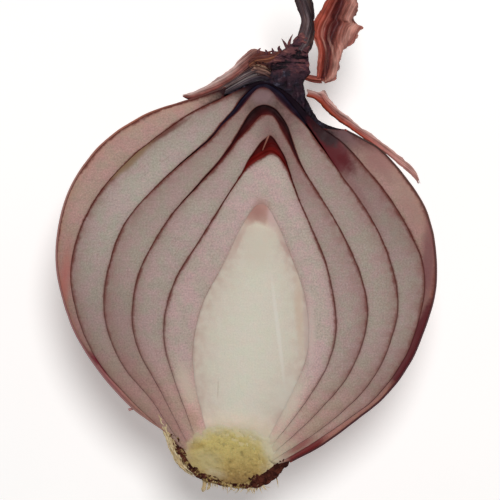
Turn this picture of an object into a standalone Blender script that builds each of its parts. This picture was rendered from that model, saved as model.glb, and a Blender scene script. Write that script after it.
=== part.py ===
"""Half a red onion, cut lengthwise, lying on its round back with the cut face up.

The frame is in metres. +Z is up, +Y runs from the root to the neck and +X to the right of
the cut face. The origin is the middle of the small flat spot that the back rests on.

Every fleshy scale is a cup of its own. Its outline on the cut face is a pair of curves, one
left and one right of the bulb's axis, drawn through knots that are measured in millimetres
from the same origin. Knots with the same number are joined by a half ring below the face.
"""

import math
import random
from collections import namedtuple

import bmesh
import bpy
from mathutils import Vector

# Driving dimensions in metres
MM = 0.001
FACE_HEIGHT = 35.6 * MM
ROUNDNESS = 0.97
GAP = 0.3 * MM
SKIN = 0.6 * MM
STRIP_SKIN = 0.8 * MM
FLESH_AT_SPOT = 0.8 * MM
TIP_SIZE = 0.03 * MM
SHARP_ANGLE = math.radians(40)
SWEEP_STEPS = 18
NECK_SWEEP_STEPS = 30
KNOT_STEPS = 2

# Outline of the papery outer skin, from the root to the neck
Sides = namedtuple("Sides", "left right")
TUNIC = Sides(
    left=[(-16.8, -32.8), (-23.8, -28.0), (-30.8, -19.6), (-35.8, -10.2), (-38.1, 1.4),
          (-36.0, 13.4), (-30.0, 23.0), (-20.8, 29.8), (-11.2, 33.0), (-4.2, 35.4)],
    right=[(9.0, -40.4), (18.4, -35.4), (28.0, -27.2), (35.0, -15.8), (38.2, -5.8),
           (38.0, 2.8), (34.6, 13.8), (28.0, 22.4), (23.6, 25.6), (19.8, 27.4)])

# Outer outlines of the second to fifth fleshy scale and of the heart, from the root up
SECOND = Sides(
    left=[(-14.6, -31.8), (-22.0, -26.6), (-29.2, -17.8), (-33.8, -7.8), (-34.7, 1.6),
          (-30.4, 12.4), (-22.6, 21.6), (-12.2, 29.4), (-2.2, 34.0)],
    right=[(7.2, -38.6), (19.0, -31.6), (27.8, -22.6), (33.0, -14.2), (35.4, -4.2),
           (33.8, 4.2), (28.2, 13.8), (20.8, 23.0), (16.0, 26.3)])
THIRD = Sides(
    left=[(-12.0, -33.0), (-18.0, -27.0), (-24.4, -20.6), (-27.8, -12.6), (-28.2, -4.2),
          (-24.6, 7.4), (-17.2, 16.4), (-7.8, 24.8), (0.0, 33.0), (2.0, 34.6), (3.8, 35.2)],
    right=[(6.0, -37.4), (15.8, -31.0), (25.0, -23.4), (29.6, -13.2), (30.0, -4.0),
           (25.8, 7.6), (19.8, 16.8), (15.2, 23.4), (12.4, 27.6), (8.2, 32.6), (3.8, 35.2)])
FOURTH = Sides(
    left=[(-10.6, -33.6), (-17.2, -25.2), (-21.6, -17.0), (-22.7, -9.6), (-20.8, -0.8),
          (-15.0, 9.4), (-6.4, 19.2), (-1.2, 26.6), (1.2, 29.4), (4.0, 30.2)],
    right=[(5.4, -36.0), (14.2, -29.8), (20.8, -21.8), (24.0, -12.6), (23.6, -4.8),
           (19.6, 5.4), (13.0, 16.4), (9.0, 25.2), (6.6, 29.0), (4.0, 30.2)])
FIFTH = Sides(
    left=[(-9.0, -33.0), (-14.4, -22.8), (-16.4, -13.6), (-14.2, -3.4), (-8.0, 6.8),
          (-1.4, 16.8), (1.2, 20.6), (4.8, 22.2)],
    right=[(4.8, -34.6), (11.8, -27.8), (16.6, -19.6), (18.0, -11.2), (16.0, -0.2),
           (10.8, 12.2), (7.6, 20.2), (4.8, 22.2)])
HEART = Sides(
    left=[(-7.6, -32.2), (-10.0, -24.8), (-10.6, -17.2), (-8.8, -8.2), (-4.6, 0.0),
          (-0.2, 8.8), (3.2, 12.0)],
    right=[(3.8, -33.4), (9.2, -25.6), (12.4, -17.2), (12.0, -7.2), (9.4, 0.4),
           (6.0, 8.4), (3.2, 12.0)])

# Hollow tips: the last knots of a scale's inner outline, where it stands off the next scale
THIRD_HOLLOW = Sides(left=[(0.9, 30.0), (4.0, 31.8)], right=[(6.9, 30.0), (4.0, 31.8)])
FOURTH_HOLLOW = Sides(left=[(1.4, 22.2), (4.8, 25.2)], right=[(7.2, 22.2), (4.8, 25.2)])

# The hollow of the heart's foot, and the root plate below it: its top and its underside
HEART_FOOT = (-2.8, -31.6)
PLATE_TOP = Sides(
    left=[(-15.0, -32.7), (-12.3, -33.8), (-10.7, -34.2), (-9.1, -33.5), (-7.7, -32.8),
          (-2.9, -32.1)],
    right=[(6.8, -38.9), (5.7, -37.6), (5.1, -36.2), (4.3, -34.9), (3.3, -33.8),
           (-2.9, -32.1)])
PLATE_UNDER = Sides(
    left=[(-14.8, -33.9), (-13.4, -37.0), (-11.2, -39.6), (-7.6, -41.6), (-1.6, -42.6)],
    right=[(6.8, -39.5), (6.0, -40.4), (4.6, -41.4), (2.2, -42.3), (-1.6, -42.6)])

# The corky crust outside the root plate
CRUST = Sides(
    left=[(-16.6, -33.3), (-14.9, -37.2), (-12.6, -40.8), (-8.4, -43.2), (-1.2, -44.2)],
    right=[(8.6, -40.9), (7.6, -42.2), (6.0, -43.3), (3.2, -44.0), (-1.2, -44.2)])

# The dried neck: its outside up to the stump of the leaves, and its inside over the tip below
NECK = Sides(
    left=[(-3.7, 35.6), (-1.0, 37.7), (1.4, 39.7), (4.0, 41.3), (7.0, 43.4), (9.2, 44.6),
          (10.6, 45.3), (12.0, 45.6)],
    right=[(19.4, 27.8), (14.8, 29.2), (12.4, 31.8), (11.4, 35.2), (13.0, 38.6), (12.2, 41.8),
           (13.3, 44.6), (12.0, 45.6)])
NECK_INSIDE = Sides(
    left=[(-2.0, 35.2), (0.0, 35.6), (2.0, 36.1), (4.2, 36.2)],
    right=[(17.8, 27.2), (13.7, 28.1), (9.0, 32.9), (4.2, 36.2)])
NECK_RIBS = 9
NECK_RIB_HEIGHT = 0.16
NECK_RIB_RISE = 5
NECK_TWIST = 0.5

# Dry strips: stations along each, as x, y, depth below the face, width and rise of the right edge
Station = namedtuple("Station", "x y below width lift")
TAIL = [
    Station(12.3, 46.1, 1.3, 2.6, 0.0), Station(12.4, 48.0, 1.2, 2.5, 0.2),
    Station(12.2, 49.8, 1.1, 2.2, 0.5), Station(11.7, 52.2, 1.0, 3.0, 0.8),
    Station(11.0, 54.6, 1.2, 3.1, 0.6), Station(10.2, 57.0, 1.6, 2.6, 0.2),
    Station(9.6, 58.6, 2.0, 1.2, 0.0)]
CURL = [
    Station(13.2, 37.4, 1.6, 1.0, 0.0), Station(15.0, 36.8, 1.6, 1.1, 0.5),
    Station(17.0, 38.2, 2.4, 4.2, 0.8), Station(17.1, 42.2, 2.8, 4.9, 0.6),
    Station(18.0, 46.4, 2.8, 8.2, 0.2), Station(18.7, 50.2, 2.8, 7.8, -0.2),
    Station(19.2, 53.6, 2.6, 5.6, -0.4), Station(19.6, 57.4, 2.4, 4.4, 0.0),
    Station(19.8, 59.6, 2.2, 2.0, 0.0)]
STRIP = [
    Station(12.9, 34.3, 1.2, 1.4, 0.2), Station(15.0, 33.4, 1.4, 2.6, 0.6),
    Station(17.4, 30.8, 1.7, 2.7, 1.0), Station(20.6, 28.9, 1.8, 2.0, 1.2),
    Station(24.9, 26.9, 1.8, 2.0, 1.2), Station(28.8, 23.9, 1.8, 2.2, 1.2),
    Station(32.3, 20.1, 1.7, 1.9, 1.0), Station(34.6, 17.2, 1.5, 1.4, 0.6),
    Station(36.2, 14.5, 1.3, 0.7, 0.2)]
FLAP = [
    Station(-11.4, 34.1, 1.0, 0.8, 1.0), Station(-8.1, 35.6, 1.6, 1.4, 2.4),
    Station(-5.0, 37.1, 2.1, 1.7, 3.4), Station(-2.3, 39.1, 2.3, 1.7, 3.8),
    Station(0.0, 40.9, 2.1, 1.8, 3.4), Station(2.1, 42.5, 1.6, 1.4, 2.4)]
STRIP_COLUMNS = 4

# Dried root stubs, set in rows round the underside of the crust
ROOT_ROWS = [(2, 5, 0.3), (4, 5, 0.6), (6, 4, 0.2)]
ROOT_LENGTH = 2.2 * MM
ROOT_RADIUS = 0.55 * MM
ROOT_SUNK = 0.8 * MM
ROOT_SIDES = 6
CRUST_LUMP = 0.025
CRUST_LUMP_COUNTS = (5, 7, 9)

# Colour, roughness and name of each material
Finish = namedtuple("Finish", "colour roughness")
FINISHES = {
    "outer_skin": Finish((0.22, 0.06, 0.06), 0.45),
    "outer_flesh": Finish((0.36, 0.19, 0.15), 0.4),
    "flesh": Finish((0.36, 0.26, 0.22), 0.35),
    "inner_flesh": Finish((0.42, 0.29, 0.26), 0.35),
    "heart_flesh": Finish((0.56, 0.50, 0.41), 0.35),
    "root_plate_flesh": Finish((0.42, 0.31, 0.11), 0.6),
    "root_cork": Finish((0.06, 0.03, 0.02), 0.9),
    "dry_neck": Finish((0.06, 0.03, 0.035), 0.75),
    "dry_leaf": Finish((0.09, 0.055, 0.055), 0.7),
    "torn_skin": Finish((0.28, 0.09, 0.07), 0.55),
}


def clear_scene():
    for thing in list(bpy.data.objects):
        bpy.data.objects.remove(thing, do_unlink=True)


def material(name):
    """A Principled material with the named finish."""
    if name in bpy.data.materials:
        return bpy.data.materials[name]
    made = bpy.data.materials.new(name)
    made.use_nodes = True
    shader = made.node_tree.nodes["Principled BSDF"]
    finish = FINISHES[name]
    shader.inputs["Base Color"].default_value = (*finish.colour, 1.0)
    shader.inputs["Roughness"].default_value = finish.roughness
    shader.inputs["Metallic"].default_value = 0.0
    return made


def add_object(name, bm, finish):
    """Turn a closed bmesh into a smooth shaded object with its faces pointing out."""
    bmesh.ops.recalc_face_normals(bm, faces=bm.faces)
    mesh = bpy.data.meshes.new(name)
    bm.to_mesh(mesh)
    bm.free()
    mesh.shade_smooth()
    mesh.set_sharp_from_angle(angle=SHARP_ANGLE)
    mesh.materials.append(material(finish))
    made = bpy.data.objects.new(name, mesh)
    bpy.context.scene.collection.objects.link(made)
    return made


def curve_point(knots, place):
    """Point of a Catmull-Rom curve, where place counts knots from the first one."""
    last = len(knots) - 1
    start = min(int(place), last - 1)
    t = place - start
    p1 = knots[start]
    p2 = knots[start + 1]
    p0 = knots[max(start - 1, 0)]
    p3 = knots[min(start + 2, last)]
    return (p1 * 2 + (p2 - p0) * t + (p0 * 2 - p1 * 5 + p2 * 4 - p3) * t ** 2
            + (p1 * 3 - p0 - p2 * 3 + p3) * t ** 3) / 2


def smooth(knots, steps=KNOT_STEPS):
    """Points in metres along the curve through knots given in millimetres."""
    vectors = [Vector(knot) * MM for knot in knots]
    count = (len(knots) - 1) * steps
    return [curve_point(vectors, index / steps) for index in range(count + 1)]


def outline(sides):
    """Both sides of an outline as a list of (left, right) pairs from the root up."""
    return list(zip(smooth(sides.left), smooth(sides.right)))


def pushed(pairs, distance):
    """The same outline moved on the cut face by a distance.

    An outline that runs up towards the neck moves outwards, one that runs down inwards.
    """
    moved = []
    last = len(pairs) - 1
    closed = (pairs[last][0] - pairs[last][1]).length < TIP_SIZE
    for index, (left, right) in enumerate(pairs):
        before = pairs[max(index - 1, 0)]
        after = pairs[min(index + 1, last)]
        run_left = (after[0] - before[0]).normalized()
        run_right = (after[1] - before[1]).normalized()
        out_left = Vector((-run_left.y, run_left.x))
        out_right = Vector((run_right.y, -run_right.x))
        if closed and index == last:
            out_left = out_right = (out_left + out_right).normalized()
        moved.append((left + out_left * distance, right + out_right * distance))
    return moved


def hollowed(sides, hollow):
    """An outline whose last knots are replaced, so that its tip is left hollow."""
    count = len(hollow.left)
    return Sides(sides.left[:-count] + hollow.left, sides.right[:-count] + hollow.right)


def ring_vertices(bm, pair, steps, floor, swell=None):
    """Half ring of vertices hung between the right and the left point of an outline."""
    left, right = pair
    centre = (left + right) / 2
    half = (right - left) / 2
    if half.length < TIP_SIZE:
        tip = bm.verts.new((centre.x, centre.y, FACE_HEIGHT))
        return [tip] * (steps + 1)
    row = []
    for index in range(steps + 1):
        angle = math.pi * index / steps
        grow = swell(angle) if swell else 1.0
        across = centre + half * (math.cos(angle) * grow)
        depth = ROUNDNESS * half.length * math.sin(angle) * grow
        if index in (0, steps):
            across = right if index == 0 else left
            depth = 0.0
        row.append(bm.verts.new((across.x, across.y, max(FACE_HEIGHT - depth, floor))))
    return row


def add_face(bm, corners):
    """Face through the corners, left out where they fall together on a tip."""
    different = list(dict.fromkeys(corners))
    if len(different) > 2:
        bm.faces.new(different)


def join_rows(bm, lower, upper):
    """Triangles between two rows, split the same way on every surface."""
    middle = (len(lower) - 1) // 2
    for index in range(len(lower) - 1):
        a, b = lower[index], lower[index + 1]
        c, d = upper[index + 1], upper[index]
        if index < middle:
            add_face(bm, (a, b, c))
            add_face(bm, (a, c, d))
        else:
            add_face(bm, (a, b, d))
            add_face(bm, (b, c, d))


def join_chains(bm, outer, inner):
    """Triangles between two chains of the cut face that can differ in their number of points."""
    a = b = 0
    while a < len(outer) - 1 or b < len(inner) - 1:
        step_outer = math.inf
        step_inner = math.inf
        if a < len(outer) - 1:
            step_outer = (outer[a + 1].co - inner[b].co).length
        if b < len(inner) - 1:
            step_inner = (outer[a].co - inner[b + 1].co).length
        if step_outer <= step_inner:
            add_face(bm, (outer[a], outer[a + 1], inner[b]))
            a += 1
        else:
            add_face(bm, (outer[a], inner[b], inner[b + 1]))
            b += 1


def cup(name, outer, inner, finish, floors=(0.0, 0.0), steps=SWEEP_STEPS, swell=None):
    """Closed half cup between an outer and an inner outline, open or pointed at the neck."""
    bm = bmesh.new()
    outer_rows = []
    for index, pair in enumerate(outer):
        shape = swell(index) if swell else None
        outer_rows.append(ring_vertices(bm, pair, steps, floors[0], shape))
    inner_rows = [ring_vertices(bm, pair, steps, floors[1]) for pair in inner]
    for rows in (outer_rows, inner_rows):
        for lower, upper in zip(rows, rows[1:]):
            join_rows(bm, lower, upper)
    for column in (0, steps):
        join_chains(bm, [row[column] for row in outer_rows], [row[column] for row in inner_rows])
    join_rows(bm, outer_rows[0], inner_rows[0])
    if outer_rows[-1][0] is not outer_rows[-1][1]:
        join_rows(bm, outer_rows[-1], inner_rows[-1])
    return add_object(name, bm, finish)


def make_tunic():
    outer = outline(TUNIC)
    cup("tunic", outer, pushed(outer, -SKIN), "outer_skin", floors=(0.0, SKIN))


def make_scales():
    """The five fleshy cups, each filled by the next one with a thin gap between them.

    The outer ones are pressed level over the flat spot that the half rests on.
    """
    first = pushed(outline(TUNIC), -(SKIN + GAP))
    second = outline(SECOND)
    third = outline(THIRD)
    fourth = outline(FOURTH)
    fifth = outline(FIFTH)
    heart = outline(HEART)
    shoulder = len(third) - 2 * KNOT_STEPS
    spot = SKIN + GAP
    cup("scale_1", first, pushed(second, GAP), "outer_flesh", floors=(spot, spot + FLESH_AT_SPOT))
    spot += FLESH_AT_SPOT + GAP
    cup("scale_2", second, pushed(third, GAP)[:shoulder], "flesh", floors=(spot, 0.0))
    cup("scale_3", third, pushed(outline(hollowed(FOURTH, THIRD_HOLLOW)), GAP), "flesh")
    cup("scale_4", fourth, pushed(outline(hollowed(FIFTH, FOURTH_HOLLOW)), GAP), "flesh")
    cup("scale_5", fifth, pushed(heart, GAP), "inner_flesh")


def make_heart():
    """The solid heart, with a hollow foot where the root plate's dome pushes into it."""
    hollow = Vector(HEART_FOOT) * MM
    rings = [(hollow, hollow)] + outline(HEART)
    bm = bmesh.new()
    rows = [ring_vertices(bm, pair, SWEEP_STEPS, 0.0) for pair in rings]
    for lower, upper in zip(rows, rows[1:]):
        join_rows(bm, lower, upper)
    right_edge = [row[0] for row in rows]
    left_edge = [row[-1] for row in reversed(rows)]
    add_face(bm, right_edge + left_edge)
    add_object("heart", bm, "heart_flesh")


def make_root_plate():
    """The root plate that every scale grows from, round below and domed above."""
    cup("root_plate", outline(PLATE_UNDER), outline(PLATE_TOP), "root_plate_flesh")


def crust_lumps(draw):
    """Gives each ring of the crust its own gentle lumps round the back."""
    def for_ring(_index):
        phase = draw.uniform(0.0, math.tau)
        lumps = draw.choice(CRUST_LUMP_COUNTS)

        def swell(angle):
            wave = 0.5 + 0.5 * math.sin(lumps * angle + phase)
            return 1.0 + CRUST_LUMP * wave * math.sin(angle)
        return swell
    return for_ring


def add_root_stubs(crust, draw):
    """Short dry root stubs, standing off the underside of the crust and fused to it."""
    rings = outline(CRUST)
    hub = rings[0][0].lerp(rings[0][1], 0.5)
    hub = Vector((hub.x, hub.y, FACE_HEIGHT))
    stubs = bpy.data.collections.new("root_stubs")
    for ring, count, turn in ROOT_ROWS:
        left, right = rings[ring]
        half = (right - left) / 2
        for index in range(count):
            angle = math.pi * (index + turn) / count
            across = left.lerp(right, 0.5) + half * math.cos(angle)
            depth = ROUNDNESS * half.length * math.sin(angle)
            foot = Vector((across.x, across.y, FACE_HEIGHT - depth))
            away = (foot - hub).normalized()
            length = ROOT_LENGTH * draw.uniform(0.7, 1.3)
            bm = bmesh.new()
            bmesh.ops.create_cone(
                bm, cap_ends=True, segments=ROOT_SIDES, radius1=ROOT_RADIUS,
                radius2=ROOT_RADIUS * 0.5, depth=length + ROOT_SUNK)
            stub = add_object(f"root_stub_{ring}_{index}", bm, "root_cork")
            bpy.context.scene.collection.objects.unlink(stub)
            stubs.objects.link(stub)
            stub.rotation_mode = "QUATERNION"
            stub.rotation_quaternion = away.to_track_quat("Z", "Y")
            stub.location = foot + away * ((length - ROOT_SUNK) / 2)
    union = crust.modifiers.new("stubs", "BOOLEAN")
    union.operation = "UNION"
    union.operand_type = "COLLECTION"
    union.collection = stubs
    fused = bpy.data.meshes.new_from_object(
        crust.evaluated_get(bpy.context.evaluated_depsgraph_get()))
    crust.modifiers.clear()
    crust.data = fused
    for stub in list(stubs.objects):
        bpy.data.objects.remove(stub, do_unlink=True)
    bpy.data.collections.remove(stubs)


def make_root_crust():
    """The corky crust under the root plate, with the stubs of the dried roots."""
    draw = random.Random(7)
    inner = pushed(outline(PLATE_UNDER), -GAP)
    crust = cup("root_crust", outline(CRUST), inner, "root_cork", swell=crust_lumps(draw))
    add_root_stubs(crust, draw)


def neck_ribs(index):
    """Ribs that rise from nothing at the neck's foot and twist a little on their way up."""
    height = NECK_RIB_HEIGHT * min(index / NECK_RIB_RISE, 1.0)

    def swell(angle):
        wave = 0.5 + 0.5 * math.cos(2 * NECK_RIBS * angle + NECK_TWIST * index)
        return 1.0 + height * wave * math.sin(angle)
    return swell


def make_neck():
    cup("neck", outline(NECK), outline(NECK_INSIDE), "dry_neck",
        steps=NECK_SWEEP_STEPS, swell=neck_ribs)


def smooth_stations(stations):
    """Stations set closer along a smooth curve through the given ones."""
    rows = [Vector(station[:3]) for station in stations]
    shapes = [Vector((station.width, station.lift, 0.0)) for station in stations]
    count = (len(stations) - 1) * KNOT_STEPS
    closer = []
    for index in range(count + 1):
        spot = curve_point(rows, index / KNOT_STEPS)
        shape = curve_point(shapes, index / KNOT_STEPS)
        closer.append(Station(spot.x, spot.y, spot.z, shape.x, shape.y))
    return closer


def dry_strip(name, stations, bow, finish):
    """Thin strip of dry skin through its stations, with its middle bowed below its edges."""
    closer = smooth_stations(stations)
    spots = [Vector((s.x * MM, s.y * MM, FACE_HEIGHT - s.below * MM)) for s in closer]
    bm = bmesh.new()
    tops = []
    bottoms = []
    for index, station in enumerate(closer):
        run = spots[min(index + 1, len(spots) - 1)] - spots[max(index - 1, 0)]
        across = Vector((run.y, -run.x, 0.0)).normalized()
        half = across * (station.width * MM / 2) + Vector((0.0, 0.0, station.lift * MM / 2))
        up = half.cross(run).normalized() * (STRIP_SKIN / 2)
        top = []
        bottom = []
        for column in range(STRIP_COLUMNS + 1):
            side = 2 * column / STRIP_COLUMNS - 1
            sag = bow * station.width * MM * (1 - side ** 2)
            spot = spots[index] + half * side - Vector((0.0, 0.0, sag))
            top.append(bm.verts.new(spot + up))
            bottom.append(bm.verts.new(spot - up))
        tops.append(top)
        bottoms.append(bottom)
    for rows in (tops, bottoms):
        for lower, upper in zip(rows, rows[1:]):
            join_rows(bm, lower, upper)
    for column in (0, STRIP_COLUMNS):
        join_chains(bm, [row[column] for row in tops], [row[column] for row in bottoms])
    for end in (0, -1):
        join_rows(bm, tops[end], bottoms[end])
    add_object(name, bm, finish)


def make_dry_strips():
    """The leaf stump above the neck and the three torn pieces of skin round it."""
    dry_strip("leaf_stump", TAIL, 0.12, "dry_leaf")
    dry_strip("torn_curl", CURL, 0.22, "torn_skin")
    dry_strip("torn_strip", STRIP, 0.15, "torn_skin")
    dry_strip("torn_flap", FLAP, 0.1, "torn_skin")


def main():
    clear_scene()
    make_tunic()
    make_scales()
    make_heart()
    make_root_plate()
    make_root_crust()
    make_neck()
    make_dry_strips()


main()
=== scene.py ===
"""Half a red onion, cut lengthwise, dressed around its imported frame.

The half lies on its round back with the cut face up. Shapes are worked out in millimetres in
the frame's own directions: +Y runs from the root to the neck and +X to the right of the face.
"""

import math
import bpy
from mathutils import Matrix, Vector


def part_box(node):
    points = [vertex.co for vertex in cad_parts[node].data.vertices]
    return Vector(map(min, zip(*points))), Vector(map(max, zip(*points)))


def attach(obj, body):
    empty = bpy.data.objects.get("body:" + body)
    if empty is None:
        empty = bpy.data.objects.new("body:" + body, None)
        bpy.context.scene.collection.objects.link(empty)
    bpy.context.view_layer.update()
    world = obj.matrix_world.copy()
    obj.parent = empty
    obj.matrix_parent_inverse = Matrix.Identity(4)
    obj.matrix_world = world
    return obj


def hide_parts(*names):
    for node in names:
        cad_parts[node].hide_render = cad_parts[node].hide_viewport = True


bl_info = {
    "name": "Halved Red Onion",
    "version": (1, 0, 0),
    "blender": (4, 5, 0),
    "location": "View3D > Sidebar > Onion",
    "description": "Builds half a red onion, cut lengthwise and lying on its back",
    "category": "Add Mesh",
}

from collections import namedtuple

import bmesh
import bpy
import numpy as np
from bpy.props import FloatProperty, FloatVectorProperty, PointerProperty
from bpy.types import Operator, Panel, PropertyGroup

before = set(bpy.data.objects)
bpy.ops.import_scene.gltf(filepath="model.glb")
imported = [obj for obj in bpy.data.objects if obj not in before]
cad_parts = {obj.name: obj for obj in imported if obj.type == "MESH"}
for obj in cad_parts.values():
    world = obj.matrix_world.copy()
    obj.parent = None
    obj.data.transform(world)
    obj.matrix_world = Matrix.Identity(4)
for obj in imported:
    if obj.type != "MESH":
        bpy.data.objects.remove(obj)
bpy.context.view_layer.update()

MM = 0.001
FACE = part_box("scale_1")[1].z / MM
BODY = "root"

Sides = namedtuple("Sides", "left right")

# Outer outlines on the cut face, from the root up, in millimetres
TUNIC = Sides(
    [(-16.5, -33.4), (-23.8, -28.0), (-30.8, -19.6), (-35.8, -10.2), (-38.1, 1.4), (-36.0, 13.4),
     (-30.0, 23.0), (-20.8, 29.8), (-11.2, 33.0), (-4.2, 35.4)],
    [(8.8, -39.8), (15.6, -36.2), (22.2, -31.2), (27.2, -27.2), (31.6, -21.8), (34.8, -15.8), (37.6, -7.2),
     (38.2, 0.0), (37.2, 7.4), (34.6, 13.8), (28.0, 22.0), (23.6, 25.0), (19.8, 27.0)])
SECOND = Sides(
    [(-13.2, -36.8), (-15.2, -34.4), (-23.2, -27.0), (-30.2, -18.4), (-34.4, -7.8), (-34.7, 1.6),
     (-30.4, 12.4), (-22.6, 21.6), (-12.2, 29.4), (-4.6, 33.2), (-0.4, 35.3), (3.4, 36.4)],
    [(5.8, -40.1), (7.6, -39.2), (14.4, -35.2), (21.2, -30.4), (25.8, -26.8), (30.4, -20.8), (33.2, -15.4),
     (35.4, -7.2), (35.6, -1.0), (33.4, 5.0), (28.2, 13.8), (20.4, 23.2), (15.4, 27.0), (12.6, 29.6),
     (8.6, 34.0), (3.4, 36.4)])
THIRD = Sides(
    [(-11.8, -37.4), (-13.8, -35.0), (-18.8, -27.4), (-24.4, -20.6), (-27.8, -12.6), (-28.2, -4.2),
     (-24.6, 7.4), (-17.2, 16.4), (-7.8, 24.4), (-4.4, 28.0), (-2.0, 30.2), (-0.4, 32.0), (1.0, 33.8),
     (2.2, 34.9), (3.6, 35.3)],
    [(5.0, -39.6), (7.0, -38.2), (16.4, -32.0), (25.0, -23.4), (29.6, -13.2), (30.0, -4.0), (25.8, 7.6),
     (18.0, 19.4), (14.8, 23.8), (11.8, 27.8), (9.6, 30.0), (7.8, 31.8), (6.2, 33.4), (4.9, 34.8),
     (3.6, 35.3)])
FOURTH = Sides(
    [(-10.6, -37.2), (-12.4, -34.6), (-17.2, -25.2), (-21.6, -17.0), (-22.8, -9.6), (-21.0, -0.8),
     (-15.2, 9.4), (-6.6, 18.9), (-4.2, 21.6), (-2.2, 24.2), (0.2, 26.8), (1.8, 28.6), (2.9, 29.7),
     (4.2, 30.0)],
    [(4.2, -39.0), (6.4, -37.0), (14.2, -29.8), (20.8, -21.8), (24.0, -12.6), (23.6, -4.8), (19.6, 5.4),
     (13.0, 16.4), (10.2, 20.8), (8.2, 24.8), (7.2, 26.6), (6.3, 28.4), (5.4, 29.7), (4.2, 30.0)])
FIFTH = Sides(
    [(-9.2, -36.4), (-10.6, -33.4), (-14.4, -22.8), (-16.5, -13.6), (-14.2, -3.4), (-8.0, 6.8),
     (-1.4, 17.0), (0.0, 19.1), (1.5, 20.4), (3.2, 21.4), (5.0, 22.2)],
    [(3.6, -38.2), (5.8, -35.4), (11.8, -27.8), (16.6, -19.6), (18.0, -11.2), (16.0, -0.2), (10.8, 12.2),
     (8.6, 18.0), (7.4, 20.2), (6.4, 21.5), (5.0, 22.2)])
HEART = Sides(
    [(-7.2, -35.6), (-8.2, -32.2), (-10.0, -24.8), (-10.6, -17.2), (-8.8, -8.2), (-4.6, 0.0), (-0.2, 8.8),
     (3.2, 12.0)],
    [(2.8, -37.4), (4.8, -34.0), (9.2, -25.6), (12.4, -17.2), (12.0, -7.2), (9.4, 0.4), (6.0, 8.4),
     (3.2, 12.0)])
PLATE = Sides(
    [(-3.2, -31.0), (-7.2, -31.4), (-11.0, -32.6), (-14.2, -34.6), (-12.9, -37.3), (-10.9, -40.4),
     (-9.3, -41.8), (-7.0, -42.8), (-4.2, -43.6), (-1.2, -43.9)],
    [(-3.2, -31.0), (1.8, -31.8), (5.6, -33.8), (7.4, -36.8), (6.8, -39.2), (5.4, -40.4), (3.4, -41.9),
     (1.2, -43.1), (-1.2, -43.9)])
PLATE_MIDDLE, PLATE_HALF = (-3.2, -37.1), (10.6, 6.1)
CRUST = Sides(
    [(-15.6, -33.8), (-14.5, -36.0), (-13.6, -38.0), (-11.7, -41.0), (-9.9, -42.5), (-7.2, -43.7),
     (-4.2, -44.4), (-1.2, -44.8)],
    [(9.3, -39.0), (7.9, -40.6), (6.6, -42.1), (4.8, -43.7), (2.2, -44.7), (-1.2, -44.8)])
NECK = Sides(
    [(-5.4, 34.4), (-2.8, 36.4), (-0.4, 38.2), (2.4, 40.0), (5.6, 41.6), (7.6, 43.0), (9.2, 44.4),
     (10.6, 45.8), (11.9, 46.4)],
    [(22.4, 25.7), (15.4, 28.4), (13.2, 30.8), (12.0, 33.8), (11.6, 36.4), (12.9, 38.6), (12.4, 41.2),
     (13.0, 44.2), (11.9, 46.4)])
NECK_INSIDE = Sides([(-5.1, 33.8), (-2.4, 34.3), (-0.4, 35.3), (3.4, 36.4)], SECOND.right[-4:])

# Inner sides of three scales, which stand off the next scale below the neck
SECOND_INSIDE = Sides(
    THIRD.left[:8] + [(-7.8, 24.8), (-4.4, 28.7), (-2.4, 31.0), (-1.2, 32.8), (0.2, 34.3), (1.6, 35.4),
                      (3.6, 36.0)],
    THIRD.right[:8] + [(15.0, 24.0), (12.0, 28.2), (9.8, 31.2), (7.4, 34.0), (5.6, 35.5), (3.6, 36.0)])
THIRD_INSIDE = Sides(
    FOURTH.left[:7] + [(-6.6, 19.3), (-4.2, 22.3), (-2.2, 25.3), (-0.6, 28.0), (0.8, 30.2), (2.2, 31.4),
                       (4.0, 31.8)],
    FOURTH.right[:8] + [(10.6, 20.8), (9.0, 25.2), (8.3, 27.4), (7.2, 29.3), (5.8, 31.0), (4.0, 31.8)])
FOURTH_INSIDE = Sides(
    FIFTH.left[:6] + [(-1.4, 17.2), (0.2, 20.4), (1.6, 22.6), (2.9, 24.3), (4.0, 25.2), (4.8, 25.7)],
    FIFTH.right[:7] + [(8.7, 18.4), (7.8, 21.0), (7.0, 22.6), (6.2, 24.0), (5.5, 25.1), (4.8, 25.7)])

# Points along each side, across a cut strip, round the back and round the veined skin
ALONG = 150
ACROSS = 22
ROUND = 28
FINE_ROUND = 210

# What the materials read from a point: millimetres from a strip's outer and inner edge, place
# along the outline, whether it is below the face, place across, and how high it stands out
MARKS = ("from_outside", "from_inside", "course", "below", "across", "relief")

# Mark of a place that is far from any edge, or far below the face
FAR = 9.0

# Points of a mesh that lie closer than this become one
WELD = 0.0006 * MM

LIGHT_GAIN = 1.28


def tone(red, green, blue):
    """A colour as it is seen in soft studio light, as the colour of the surface itself."""
    parts = []
    for part in (red, green, blue):
        share = part / 255
        linear = share / 12.92 if share <= 0.04045 else ((share + 0.055) / 1.055) ** 2.4
        parts.append(min(linear * LIGHT_GAIN, 1.0))
    return (*parts, 1.0)


# Where the root's yellow reaches up into the scales and the heart, and the pale halo round it:
# middle, half the length and the width, turn, softness and raggedness
ROOT_GLOW = (-3.6, -39.4, 11.0, 8.0, math.degrees(-0.12), 0.45, 0.35)
ROOT_HALO = (-0.8, -37.4, 13.4, 8.0, math.degrees(-0.06), 0.6, 0.4)
ROOT_PALE = tone(190, 179, 156)


def length_property(name, description, millimetres):
    return FloatProperty(name=name, description=description, default=millimetres * MM,
                         min=0.0, unit="LENGTH", precision=5)


def colour_property(name, description, red, green, blue):
    return FloatVectorProperty(name=name, description=description, subtype="COLOR", size=4,
                               min=0.0, max=1.0, default=tone(red, green, blue))


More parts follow.
